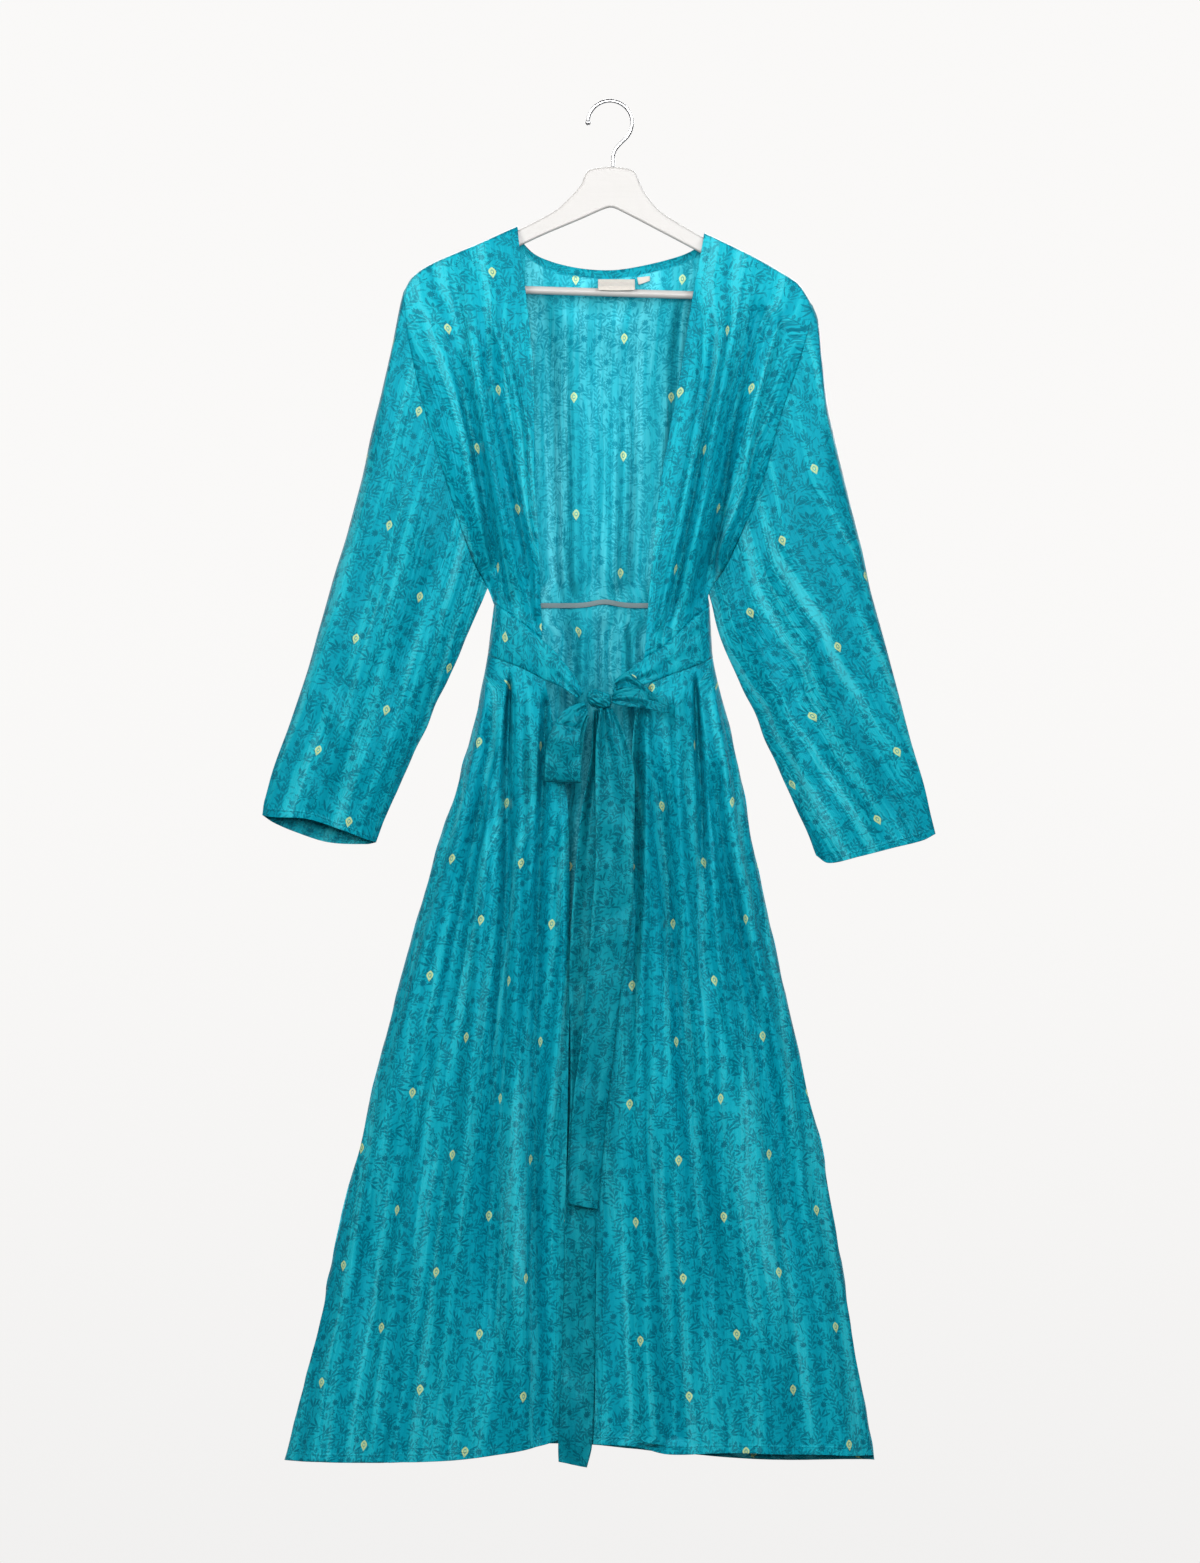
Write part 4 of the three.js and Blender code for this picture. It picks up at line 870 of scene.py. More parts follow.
def chrome_material():
    """Polished wire, lightly scuffed."""
    net = Net("chrome")
    scuff = net.noise(net.object_place(), 300.0, 4.0, dimensions="3D")
    colour = net.blend(scuff, (0.62, 0.63, 0.65, 1), (0.80, 0.80, 0.82, 1))
    return net.finish(colour, scuff * 0.10 + 0.10, Metallic=1.0)


def wall_material():
    """White paper wall that glows a little less towards its foot."""
    net = Net("wall")
    made = net.node("ShaderNodeSeparateXYZ")
    height = net.fill(made, {0: net.object_place()}, 2)
    glow = net.blend(
        net.step(height, -4.4, 0.0), (0.845, 0.838, 0.832, 1), (0.955, 0.946, 0.936, 1)
    )
    return net.surface("ShaderNodeEmission", {0: glow})


def floor_material():
    net = Net("floor")
    colour = net.blend(net.noise(net.object_place(), 3.0), (0.58, 0.57, 0.56, 1), (0.62, 0.61, 0.60, 1))
    return net.finish(colour, 0.9)


# ---------------------------------------------------------------- meshes

def mesh_object(name, points, faces, materials):
    mesh = bpy.data.meshes.new(name)
    mesh.from_pydata((np.asarray(points, float) * MM).tolist(), [], faces)
    for material in materials:
        mesh.materials.append(material)
    mesh.polygons.foreach_set("use_smooth", [True] * len(mesh.polygons))
    mesh.update()
    made = bpy.data.objects.new(name, mesh)
    bpy.context.scene.collection.objects.link(made)
    return made


def stand_for(piece, slot, *nodes):
    """Let a piece ride on the robe's one body, in place of nodes of the frame."""
    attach(piece, "root")
    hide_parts(*nodes)


def quads(rows, cols, ring=False):
    """Faces of a grid of points; the last column of a ring joins its first."""
    index = np.arange(rows * cols).reshape(rows, cols)
    after = np.roll(index, -1, axis=1) if ring else index[:, 1:]
    here = index if ring else index[:, :-1]
    return np.stack([here[:-1], here[1:], after[1:], after[:-1]], axis=-1).reshape(-1, 4).tolist()


def grid_mesh(name, grid, cut, materials, ring=False, side=None, hem=None):
    """Mesh of a grid of points, with its cut in metres as the UV map. side and hem are each point's
    distances from its free side edges and from its hem, for the stitching."""
    rows, cols = grid.shape[:2]
    made = mesh_object(name, grid.reshape(-1, 3), quads(rows, cols, ring), materials)
    corners = np.stack(
        [np.stack([c[:-1, :-1], c[1:, :-1], c[1:, 1:], c[:-1, 1:]], axis=-1) for c in cut], axis=-1
    )
    made.data.uv_layers.new(name="cloth").data.foreach_set("uv", corners.reshape(-1))
    for layer, values in (("side_d", side), ("hem_d", hem)):
        attribute = made.data.attributes.new(layer, "FLOAT", "POINT")
        far = np.full(rows * cols, NO_EDGE)
        attribute.data.foreach_set("value", far if values is None else np.asarray(values).reshape(-1))
    return made


def cut_of(grid, ring, grain, reference):
    """Lay a grid out flat: u across the grain from the reference column, v along the grain."""
    closed = np.concatenate([grid, grid[:, :1]], axis=1) if ring else grid
    down = np.array(grain, float) / np.linalg.norm(grain)
    v = -(closed @ down)
    step = np.diff(closed, axis=1)
    across = np.sqrt(np.maximum((step**2).sum(-1) - (step @ down) ** 2, 0))
    u = np.concatenate([np.zeros((len(grid), 1)), np.cumsum(across, axis=1)], axis=1)
    return u - u[:, reference : reference + 1], v


def ribbon_cut(grid):
    """The cut of a ribbon: u across it and v down its length, whichever way it turns."""
    u = run_along(grid)
    length = run_along(grid[:, grid.shape[1] // 2], axis=0)
    return u - u[:, -1:] / 2, -np.repeat(length[:, None], grid.shape[1], axis=1)


def band_cut(grid):
    """The cut of a ribbon whose length runs along the grid's rows."""
    return [c.T for c in ribbon_cut(grid.transpose(1, 0, 2))]


SLOTS = {"waist_tape": "tape", "neck_label": "label", "size_tab": "label"}  # the others are silk


def cloth(
    node, grid, cut, material, inside=None,
    ring=False, side=None, hem=None, thick=CLOTH,
):
    """Make a sheet of cloth that replaces a node; inside is the material of its other face."""
    u, v = (np.asarray(c) * MM for c in cut)
    made = grid_mesh(node + "_cloth", grid, (u, v), [material, inside or material], ring, side, hem)
    shell = made.modifiers.new("thickness", "SOLIDIFY")
    shell.thickness = thick * MM
    shell.offset = -1
    shell.material_offset = 1
    stand_for(made, SLOTS.get(node, "silk"), node)


def spread(length, extra_start=(), extra_end=(), pitch=PITCH):
    """Places 0 to 1 along a length at a pitch, with extra ones at given distances from its ends."""
    places = set(np.linspace(0, 1, max(int(round(length / pitch)), 2) + 1).tolist())
    places |= {d / length for d in extra_start} | {1 - d / length for d in extra_end}
    return np.array(sorted(places))


def body_depth(x, z, side):
    """Depth of the body's rounded section: side is -1 for the front and +1 for the back."""
    left, right = lookup(BODY, z, 1), lookup(BODY, z, 2)
    s = np.clip((2 * x - left - right) / (right - left), -1, 1)
    return side * lookup(BODY, z, 3 if side < 0 else 4) * np.sqrt(1 - s * s)


def flat(points):
    """The x and z of points that also have a depth."""
    return [p[:2] for p in points]


def sided(name, sign):
    """Name of the left piece for a minus sign, and of the right one for a plus sign."""
    return name + ("_left" if sign < 0 else "_right")


def round_over(d):
    """Rise of the cloth over the shoulder seam's rounding, 0 to 1, at a distance from the seam."""
    return np.sqrt(1 - (1 - np.clip(d / SHOULDER_R, 0, 1)) ** 2)


def ripples(u, v, seed, amount):
    """Fine upright folds between the main ones, wandering a little on their way down."""
    drift = 0.02 * noise(u * 3, v * 4, seed + 5)
    wide = noise((u + drift) * 15, v * 3.2, seed)
    fine = noise((u + drift) * 34, v * 6.5, seed + 1)
    return amount * (0.7 * wide + 0.3 * fine)


def seam_dip(distance, along, seed):
    """Cloth drawn in at a sewn seam, with small puckers."""
    pucker = 1 + 0.5 * noise(along / 9, distance * 0, seed)
    return 0.55 * np.exp(-((distance / 2.2) ** 2)) * pucker


EDGE_LINES = (0.6, 2.5, 5.0, HEM - 1.6, HEM - 0.6, HEM + 0.6)  # grid lines beside a hemmed edge


def hem_step(distance):
    """Rise of a doubled hem over the single cloth, drawn in under its stitches."""
    stitches_in = 0.25 * np.exp(-((distance - STITCH_LINE) ** 2))
    return 0.5 * smooth((HEM - distance) / 1.2 + 0.5) - stitches_in


# ---------------------------------------------------------------- bodice

def bodice_rows(length):
    """Rows down a bodice, closest where the cloth turns over the shoulder."""
    over = np.array([0, 0.5, 1.2, 2.2, 3.4, 4.8, 6.4, 8.2, 10.2, 12.6, 15.4]) / length
    rest = np.linspace(18.5 / length, 1, int(length / PITCH))
    return np.concatenate([over, rest])


def bodice_front(sign, shoulder, armhole, front_edge, band, material, seed):
    """Front bodice: u runs from the armhole to the front edge and v from the shoulder to the waist."""
    waist = band["upper"][0]
    side_seam = through(flat(armhole) + [waist])
    underarm = side_seam.knot(len(armhole) - 1)
    arm_depth, edge, upper = through(armhole), through(front_edge), through(band["upper"])
    view = patch(
        through(shoulder), lambda u: upper(u * upper.knot(EDGE)), side_seam, lambda v: edge(v)[..., :2]
    )
    columns = np.sort(1 - spread(FRONT_WIDTH, EDGE_LINES, (1.5, 3, 5), 3.2))
    u, v = np.meshgrid(columns, bodice_rows(edge.total))
    xz = view(u, v)
    x, z = xz[..., 0], xz[..., 1]
    seam = np.where(v < underarm, arm_depth(np.clip(v / underarm, 0, 1))[..., 2], 0.4)
    upper_body = mix(seam, edge(v)[..., 2], smooth(u * 0.9)) + 13 * smooth(v / 0.3) * np.sin(np.pi * u)
    over = SHOULDER_R * round_over(v * edge.total)
    nearest = np.where(u > 0.5, edge(v)[..., 2], seam)
    top = mix(nearest, over, smooth(np.minimum(u, 1 - u) * 14))
    depth = mix(top, upper_body, smooth(v / 0.12))
    depth = mix(depth, -body_depth(x, z, -1), smooth((v - 0.72) / 0.26))
    calm = smooth((1 - v) * 16 - 0.3) * smooth(v * 7) * smooth(u * 7)
    depth = depth + fold_height(FRONT_FOLDS, x, z) * calm
    inner_calm = smooth((1 - v) * 30) * smooth(v * 10) * smooth(u * 12)
    depth = depth + ripples(u * 0.55, v * 1.2, seed, 1.9) * inner_calm * (0.6 + 0.8 * v)
    side = (1 - u) * run_along(xz[:, [0, -1]])[:, 1:]
    depth = depth + hem_step(side) * smooth(v * 20)
    depth = depth - seam_dip(u * FRONT_WIDTH, v * edge.total, seed + 2) * smooth(v * 12)
    tuck = np.exp(-(1 - v) * edge.total / 2.5) * smooth(u * 20)
    depth = depth - 0.8 * tuck
    grid = np.stack([x, -np.maximum(depth, SEWN), z - UNDER_BAND * tuck], axis=-1)
    if sign > 0:
        grid, side = grid[:, ::-1], side[:, ::-1]
    cut = cut_of(grid, False, (0.05 * sign, 0, -1), grid.shape[1] // 2)
    cloth(sided("bodice_front", sign), grid, cut, material, side=side)


# Width of the back bodice between the shoulder tips, and the parts of it where the neck starts and ends
BACK_WIDTH = SHOULDER_RIGHT[0][0] - SHOULDER_LEFT[0][0]
NECK_L = (NECK_BACK[0][0] - SHOULDER_LEFT[0][0]) / BACK_WIDTH
NECK_R = (NECK_BACK[-1][0] - SHOULDER_LEFT[0][0]) / BACK_WIDTH
neck_edge = through(NECK_BACK)


def neck_seam(t, gap):
    """Seam under the neck band, which narrows to nothing at the neck points."""
    p = neck_edge(t)
    end = np.minimum(t, 1 - t)
    drop = NECK_BAND * smooth(end / 0.07) + gap
    depth = np.maximum(p[..., 2], SHOULDER_R * smooth(end / 0.02))
    return np.stack([p[..., 0], p[..., 1] - drop, depth], axis=-1)


def waist_back(x):
    """Height of the back waist seam, which rises a little in the middle."""
    return -534 + 4 * np.exp(-(((x + 6) / 16) ** 2))


def waist_seam(u):
    """Back waist seam from the left side seam to the right one, [x, z]."""
    x = mix(BODY[1][1], BODY[1][2], np.asarray(u, float))
    return np.stack([x, waist_back(x)], axis=-1)


def bodice_back(material, inside):
    """Back bodice: u runs from left to right and v from the shoulders and the neck to the waist."""
    left, right = through(SHOULDER_LEFT), through(SHOULDER_RIGHT[::-1])

    def neck_at(u):
        return neck_seam(np.clip((u - NECK_L) / (NECK_R - NECK_L), 0, 1), 0.1)

    def top(u):
        u = np.asarray(u, float)
        a, b = left(np.clip(u / NECK_L, 0, 1)), right(np.clip((u - NECK_R) / (1 - NECK_R), 0, 1))
        middle = neck_at(u)[..., :2]
        here = np.where((u <= NECK_L)[..., None], a, middle)
        return np.where((u >= NECK_R)[..., None], b, here)

    side_left = through(flat(ARMHOLE_LEFT) + [waist_seam(0.0).tolist()])
    side_right = through(flat(ARMHOLE_RIGHT) + [waist_seam(1.0).tolist()])
    under_left = side_left.knot(len(ARMHOLE_LEFT) - 1)
    under_right = side_right.knot(len(ARMHOLE_RIGHT) - 1)
    depth_left, depth_right = through(ARMHOLE_LEFT), through(ARMHOLE_RIGHT)
    columns = np.unique(np.concatenate([
        np.linspace(0, NECK_L, 34), np.linspace(NECK_L, NECK_R, 60), np.linspace(NECK_R, 1, 32),
    ]))
    u, v = np.meshgrid(columns, bodice_rows(side_left.total))
    xz = patch(top, waist_seam, side_left, side_right)(u, v)
    x, z = xz[..., 0], xz[..., 1]
    seam_l = np.where(v < under_left, depth_left(np.clip(v / under_left, 0, 1))[..., 2], 0.4)
    seam_r = np.where(v < under_right, depth_right(np.clip(v / under_right, 0, 1))[..., 2], 0.4)
    in_neck = (u > NECK_L) & (u < NECK_R)
    over = SHOULDER_R * round_over(v * side_left.total)
    start = np.where(in_neck, np.maximum(neck_at(u)[..., 2], over), over)
    body = mix(seam_l, seam_r, u) + 12 * smooth(v / 0.3) * np.sin(np.pi * u) ** 0.7
    near = np.minimum(u, 1 - u)
    upper_body = mix(start, np.maximum(body, start * smooth(near * 9)), smooth(v / 0.14))
    depth = mix(upper_body, body_depth(x, z, 1), smooth((v - 0.72) / 0.26))
    at_seam = (1 - smooth(near * 12)) * smooth((v - 0.5) / 0.15) * smooth((1 - v) / 0.05)
    depth = mix(depth, np.where(u < 0.5, seam_l, seam_r), at_seam)
    calm = smooth((1 - v) * 16 - 0.3) * smooth(v * 6) * smooth(near * 10)
    depth = depth + fold_height(BACK_FOLDS, x, z) * calm
    depth = depth + ripples(u * 2, v, 41, 1.8) * smooth((1 - v) * 30) * smooth(v * 8) * smooth(near * 14)
    depth = depth - seam_dip(near * BACK_WIDTH, v * 340, 44) * smooth(v * 12)
    grid = np.stack([x, np.maximum(depth, SEWN), z], axis=-1)[:, ::-1]
    cut = cut_of(grid, False, (0, 0, -1), grid.shape[1] // 2)
    cloth("bodice_back", grid, cut, material, inside)


def neck_band(material):
    """Narrow band that finishes the back neck edge."""
    t = np.linspace(0.03, 0.97, 90)
    upper, lower = neck_edge(t), neck_seam(t, 1.2)
    s = np.array([0, 0.05, 0.15, 0.4, 0.7, 0.85, 0.95, 1])[:, None, None]
    p = mix(upper[None], lower[None], s)
    swell = (0.9 * np.sin(np.pi * s[..., 0]) ** 0.5) * (1 + 0.3 * noise(t * 40, t * 0, 61))[None]
    grid = np.stack([p[..., 0], p[..., 2] + swell, p[..., 1]], axis=-1)[:, ::-1]
    edge = np.repeat((s[..., 0] * 6 + 1.5), len(t), axis=1)
    cloth("neck_band", grid, band_cut(grid), material, hem=edge, thick=0.8)


# ---------------------------------------------------------------- sleeves

def sleeve_fold(u, v, side):
    """Height of the folds along a sleeve; side is -1 for its front and +1 for its back."""
    total = np.zeros_like(u)
    for u0, u1, width, height, start, stop in SLEEVE_FOLDS:
        q = np.clip((u - mix(u0, u1, v) - 0.03 * side) / width, -1, 1)
        ends = smooth((v - start) / 0.15) * smooth((stop + 0.2 - v) / 0.2)
        total += height * ends * (1 + np.cos(np.pi * q)) / 2
    return total


def sleeve(sign, shape, waist, material, seed):
    """Sleeve, a tube of two layers: u runs from the outer to the inner edge and v down to the cuff."""
    length = SLEEVE_LENGTH
    depth_at = through(shape["armhole"])
    seam = through(flat(shape["armhole"]) + [waist])
    underarm = seam.knot(len(shape["armhole"]) - 1)
    outer, inner = through(shape["outer"]), through(shape["inner"])
    half = (1 - np.cos(np.pi * np.linspace(0, 1, 58))) / 2
    rows = spread(length, (1.5, 3.5, 6), EDGE_LINES)

    def layer(side, columns):
        cuff = through(shape["front" if side < 0 else "back"])
        u, v = np.meshgrid(columns, rows)
        view = patch(lambda a: seam(a * underarm), lambda a: cuff(a)[..., :2], outer, inner)
        xz = view(u, v)
        around = np.sqrt(np.maximum(1 - (2 * u - 1) ** 2, 0))
        bend = 1.5 * noise(v * 11 + u * 5, v * 0, seed + 4) * (1 - around)
        xz[..., 0] += bend * smooth(v * 6) * smooth((1 - v) * 14)
        seams = mix(depth_at(u)[..., 2], cuff(u)[..., 2], v)
        body = 14 * around * smooth(v / 0.22) * (1 - 0.8 * v**3)
        folds = sleeve_fold(u, v, side) * around
        small = ripples(u * 0.8, v * 1.6, seed + side, 1.8) * around
        small = small * smooth(v * 9) * smooth((1 - v) * 16)
        cross = 1.6 * noise(u * 3 + v * 4, v * 16 - u * 3, seed + 7) * around
        cross = cross * smooth((v - 0.25) / 0.3) * smooth((1 - v) * 9)
        depth = seams + body + folds + small + cross
        depth = depth - seam_dip(v * length, u * 300, seed + 3) * around
        depth = depth + hem_step((1 - v) * length) * around
        pucker = 0.9 * noise(u * 16, v * 0, seed + 9) * smooth((v - 0.955) / 0.03) * around
        depth = depth + pucker
        return np.stack([xz[..., 0], side * np.maximum(depth, 0), xz[..., 1]], axis=-1), v

    front, v_front = layer(-1, half)
    back, v_back = layer(1, half[1:-1][::-1])
    grid = np.concatenate([front, back], axis=1)
    v = np.concatenate([v_front, v_back], axis=1)
    if sign > 0:
        grid, v = grid[:, ::-1], v[:, ::-1]
    axis = np.array([0.30 * sign, 0, -0.954])
    cut = cut_of(grid, True, axis, len(half) // 2)
    cloth(sided("sleeve", sign), grid, cut, material, ring=True, hem=(1 - v) * length)


# ---------------------------------------------------------------- waistbands and skirt

def waistband(sign, band, material, seed):
    """Waistband from the side seam, gathered past the robe's edge into a tie that meets the knot."""
    upper, lower = through(band["upper"]), through(band["lower"])
    columns = np.sort(np.concatenate([np.linspace(0, 0.06, 8), np.linspace(0.075, 1, 62)]))
    t, s = np.meshgrid(columns, np.linspace(0, 1, 21))

    def places(edge):
        turn = edge.knot(EDGE)
        return np.where(t < 0.62, t / 0.62 * turn, mix(turn, 1, (t - 0.62) / 0.38))

    a, b = upper(places(upper)), lower(places(lower))
    p = mix(a, b, s[..., None])
    x, z = p[..., 0], p[..., 1]
    along = places(upper)
    tie = smooth((along - 0.45) / 0.55)
    gather = 2.2 * np.sin(2 * np.pi * s * 1.5) * np.sin(np.pi * s) * tie
    free = smooth((t - 0.6) / 0.15)
    crease = 1.4 * noise(s * 5 + t * 2, t * 5, seed) * np.sin(np.pi * s) * (0.5 + tie)
    roll = 1.6 * np.sin(np.pi * s) ** 0.6 * (1 - tie)
    y = body_depth(x, z, -1) - TIE_REACH * tie + gather - crease - roll - 0.4 * free
    y = np.where(t < 1e-6, -SEWN, y)
    grid = np.stack([x, y, z], axis=-1)
    if sign > 0:
        grid = grid[:, ::-1]
    cloth(sided("waistband", sign), grid, band_cut(grid), material, thick=0.9)


def side_line(z, column):
    """Side seam of the skirt, column of BODY, with the small bends that hanging cloth takes."""
    bends = 1.6 * noise(z / 46, z * 0, 80 + column) + 0.8 * noise(z / 19, z * 0, 83 + column)
    return lookup(BODY, z, column) + bends * smooth((-600 - z) / 50)


def skirt_rows(length):
    return spread(length, (1.5, 3.5, 6, 9), EDGE_LINES, 5.0)


def skirt_front(sign, band, edge_points, hem, column, material, seed):
    """Front of the skirt: u runs from the side seam to the front edge and v from the band to the hem."""
    length = SKIRT_FRONT_LENGTH
    lower = through(band["lower"])
    top_z, bottom_z = band["lower"][0][1], hem[0][1]

    def side(v):
        z = mix(top_z, bottom_z, np.asarray(v, float))
        return np.stack([side_line(z, column), z], axis=-1)

    view = patch(lambda u: lower(u * lower.knot(EDGE)), through(hem), side, through(edge_points))
    turn = 0.62 * np.pi
    columns = (1 - np.cos(np.linspace(0, 1, 88) * turn)) / (1 - np.cos(turn))
    columns = np.unique(np.concatenate([columns, 1 - np.array(EDGE_LINES) / SKIRT_FRONT_WIDTH]))
    u, v = np.meshgrid(columns, skirt_rows(length))
    xz = view(u, v)
    x, z = xz[..., 0], xz[..., 1]
    drop, hem_d = v * length, (1 - v) * length
    fade = smooth(drop / 26 - 0.25) * smooth(u * 9)
    depth = -body_depth(x, z, -1) + fold_height(FRONT_FOLDS, x, z) * fade
    small = ripples(u * 1.15, v * 1.7, seed, 1.6) * smooth(drop / 14) * smooth(u * 12)
    depth = depth + small * (0.35 + 0.65 * smooth(v / 0.3) - 0.4 * v)
    across = np.abs(x[:, -1:] - x)
    if sign > 0:
        rolled = smooth((z + 850) / 80) * smooth((-618 - z) / 14)
        depth = depth - 11 * rolled * smooth((10 - across) / 9)
    depth = depth + hem_step(across) * smooth(drop / 14) + hem_step(hem_d)
    tuck = np.exp(-drop / 2.5) * smooth(u * 20)
    depth = depth - 0.8 * tuck
    depth = depth + 1.2 * noise(x / 34, v * 0, seed + 6) * smooth((v - 0.95) / 0.05) * smooth(u * 8)
    y = np.where(u < 1e-6, -SEWN, -np.maximum(depth, SEWN))
    grid = np.stack([x, y, z + UNDER_BAND * tuck], axis=-1)
    if sign > 0:
        grid, across, hem_d = grid[:, ::-1], across[:, ::-1], hem_d[:, ::-1]
    middle = int(np.argmin(np.abs(columns - 0.55)))
    reference = middle if sign < 0 else len(columns) - 1 - middle
    cut = cut_of(grid, False, (0.06 * sign, 0, -1), reference)
    cloth(sided("skirt_front", sign), grid, cut, material, side=across, hem=hem_d)


def skirt_back(material, inside):
    """Back of the skirt, from one side seam to the other."""
    length = SKIRT_BACK_LENGTH
    top_z, bottom_z = waist_back(BODY[1][1]), HEM_BACK[0][1]

    def side(column):
        def edge(v):
            z = mix(top_z, bottom_z, np.asarray(v, float))
            return np.stack([side_line(z, column), z], axis=-1)
        return edge

    columns = (1 - np.cos(np.linspace(0, 1, 150) * np.pi)) / 2
    u, v = np.meshgrid(columns, skirt_rows(length))
    xz = patch(waist_seam, through(HEM_BACK), side(1), side(2))(u, v)
    x, z = xz[..., 0], xz[..., 1]
    near = np.minimum(u, 1 - u)
    drop, hem_d = v * length, (1 - v) * length
    fade = smooth(drop / 26 - 0.25) * smooth(near * 14)
    depth = body_depth(x, z, 1) + fold_height(BACK_FOLDS, x, z) * fade
    depth = depth + ripples(u * 2, v * 1.7, 71, 1.8) * smooth(drop / 14) * smooth(near * 16)
    depth = depth + hem_step(hem_d) - seam_dip(drop, x, 74) * smooth(near * 12)
    y = np.where(near < 1e-6, SEWN, np.maximum(depth, SEWN))
    grid = np.stack([x, y, z], axis=-1)[:, ::-1]
    cut = cut_of(grid, False, (0, 0, -1), grid.shape[1] // 2)
    cloth("skirt_back", grid, cut, material, inside, hem=hem_d[:, ::-1])


# ---------------------------------------------------------------- bow

def knot(material):
    """Knot: one turn of the tie drawn over the others, with creases running round it."""
    rings, around, lean = 40, 64, 0.25
    turn = np.linspace(2 * np.pi, 0, around, endpoint=False)
    phi, theta = np.meshgrid(turn, np.linspace(0, np.pi, rings))
    across = np.cos(theta)
    creases = 0.055 * np.sin(6 * phi + 5 * across) + 0.05 * np.sin(11 * phi - 7 * across + 2 * across**2)
    waist = 1 - 0.10 * np.exp(-(((across - 0.15) / 0.22) ** 2))
    r = np.sin(theta) ** 0.55 * (1 + creases) * waist
    px = KNOT["x"] + KNOT["wide"] / 2 * across
    py = KNOT["y"] + KNOT["deep"] / 2 * r * np.cos(phi)
    pz = KNOT["z"] + KNOT["high"] / 2 * (r * np.sin(phi) - lean * across)
    u = np.concatenate([phi, phi[:, :1] - 2 * np.pi], axis=1) * KNOT_ROUND * MM
    v = np.concatenate([across, across[:, :1]], axis=1) * KNOT_HALF * MM
    made = grid_mesh("bow_knot_cloth", np.stack([px, py, pz], axis=-1), (u, v), [material], ring=True)
    stand_for(made, "silk", "bow_knot")


def loop(node, table, seed, material, swell, fold_at, fold_depth):
    """A loop of the bow, with one fold across its front at fold_at of its length."""
    path = through(table)
    v, u = np.linspace(0, 1, 120), np.linspace(0, 1, 21)
    p = path(v)
    x = mix(p[:, 0:1], p[:, 2:3], u[None])
    z = mix(p[:, 1:2], p[:, 3:4], u[None])
    out = np.where(v < 0.5, -1.0, 1.0)[:, None] * smooth(np.abs(v - 0.5) / 0.12)[:, None]
    end = np.minimum(v, 1 - v)[:, None]
    gathers = 2.6 * np.sin(2 * np.pi * 2 * u[None] + seed) * np.exp(-end / 0.16) * np.sin(np.pi * u[None])
    crease = 1.5 * noise(u[None] * 3 + v[:, None] * 3, v[:, None] * 11, seed)
    place = (v[:, None] - fold_at - 0.02 * np.sin(4 * u[None])) / 0.022
    crease = crease - fold_depth * np.exp(-place * place) * (1 - 0.35 * u[None])
    belly = swell * np.sin(np.pi * u[None]) * np.sin(np.pi * np.clip(end / 0.4, 0, 1))
    y = p[:, 4:5] + out * (belly + crease + gathers)
    grid = np.stack([x, y, z], axis=-1)
    cloth(node, grid, ribbon_cut(grid), material)


def tail(node, table, seed, material):
    """A hanging end of the ties, gathered under the knot, with its end cut at a slant."""
    path = through(table)
    length = path.total
    v = spread(length, (), EDGE_LINES)
    u = np.linspace(0, 1, 19)
    p = path(v)
    uu, vv = np.meshgrid(u, v)
    x = mix(p[:, 1:2], p[:, 2:3], u[None])
    z = np.repeat(p[:, 0:1], len(u), axis=1)
    wave = p[:, 4:5] * np.cos(2 * np.pi * (uu + 0.4 * vv))
    creases = 1.7 * noise(uu * 1.6 + vv * 6, vv * length / 34 - uu * 1.6, seed)
    creases = creases + 0.9 * noise(uu * 3.5, vv * length / 15 + uu * 2.2, seed + 1)
    gathers = 3.4 * np.sin(2 * np.pi * 2 * uu + 0.6) * np.exp(-((vv * length / 75) ** 2))
    y = p[:, 3:4] - wave - creases - gathers
    x = x + 0.9 * noise(vv * length / 60, uu * 0, seed + 3)
    slant = -6.0 * (uu - 0.5) * smooth((vv - 0.97) / 0.03)
    grid = np.stack([x, y, z + slant], axis=-1)
    cloth(node, grid, ribbon_cut(grid), material, hem=(1 - vv) * length)


# ---------------------------------------------------------------- trims

def waist_tape(material):
    """Woven tape over the back waist seam, on the inside."""
    x = np.linspace(-98, 82, 91)
    s = np.array([-0.5, -0.42, -0.2, 0.2, 0.42, 0.5])
    xx = np.repeat(x[None], len(s), axis=0)
    z = waist_back(xx) - s[:, None] * TAPE
    y = body_depth(xx, z, 1) - 2.4 - 0.35 * np.cos(np.pi * s[:, None]) + 0.2 * noise(xx / 11, xx * 0, 91)
    grid = np.stack([xx, y, z], axis=-1)
    cloth("waist_tape", grid, band_cut(grid), material, thick=0.7)


def neck_label(material):
    """Blank label under the neck band, curling off the cloth at its corners."""
    path = through(LABEL_PROFILE)
    v = np.linspace(0, 1, 25)
    p = path(v)
    u = np.linspace(0, 1, 21)
    x = np.repeat(mix(LABEL["left"], LABEL["right"], u)[None], len(v), axis=0)
    curl = 0.8 * (2 * u[None] - 1) ** 2 * v[:, None]
    grid = np.stack([x, p[:, 0:1] - curl + 0 * u[None], p[:, 1:2] + 0.6 * curl], axis=-1)
    cloth("neck_label", grid, ribbon_cut(grid), material)


def size_tab(material):
    """Small blank tab beside the label."""
    path = through([[a, b, c, d, 12 - i * 0.8] for i, (a, b, c, d) in enumerate(SIZE_TAB)])
    v, u = np.linspace(0, 1, 9), np.linspace(0, 1, 9)
    p = path(v)
    grid = np.stack(
        [
            mix(p[:, 0:1], p[:, 2:3], u[None]),
            p[:, 4:5] - 0.5 * np.sin(np.pi * u[None]) * v[:, None],
            mix(p[:, 1:2], p[:, 3:4], u[None]),
        ],
        axis=-1,
    )
    cloth("size_tab", grid, ribbon_cut(grid), material)


# ---------------------------------------------------------------- hanger

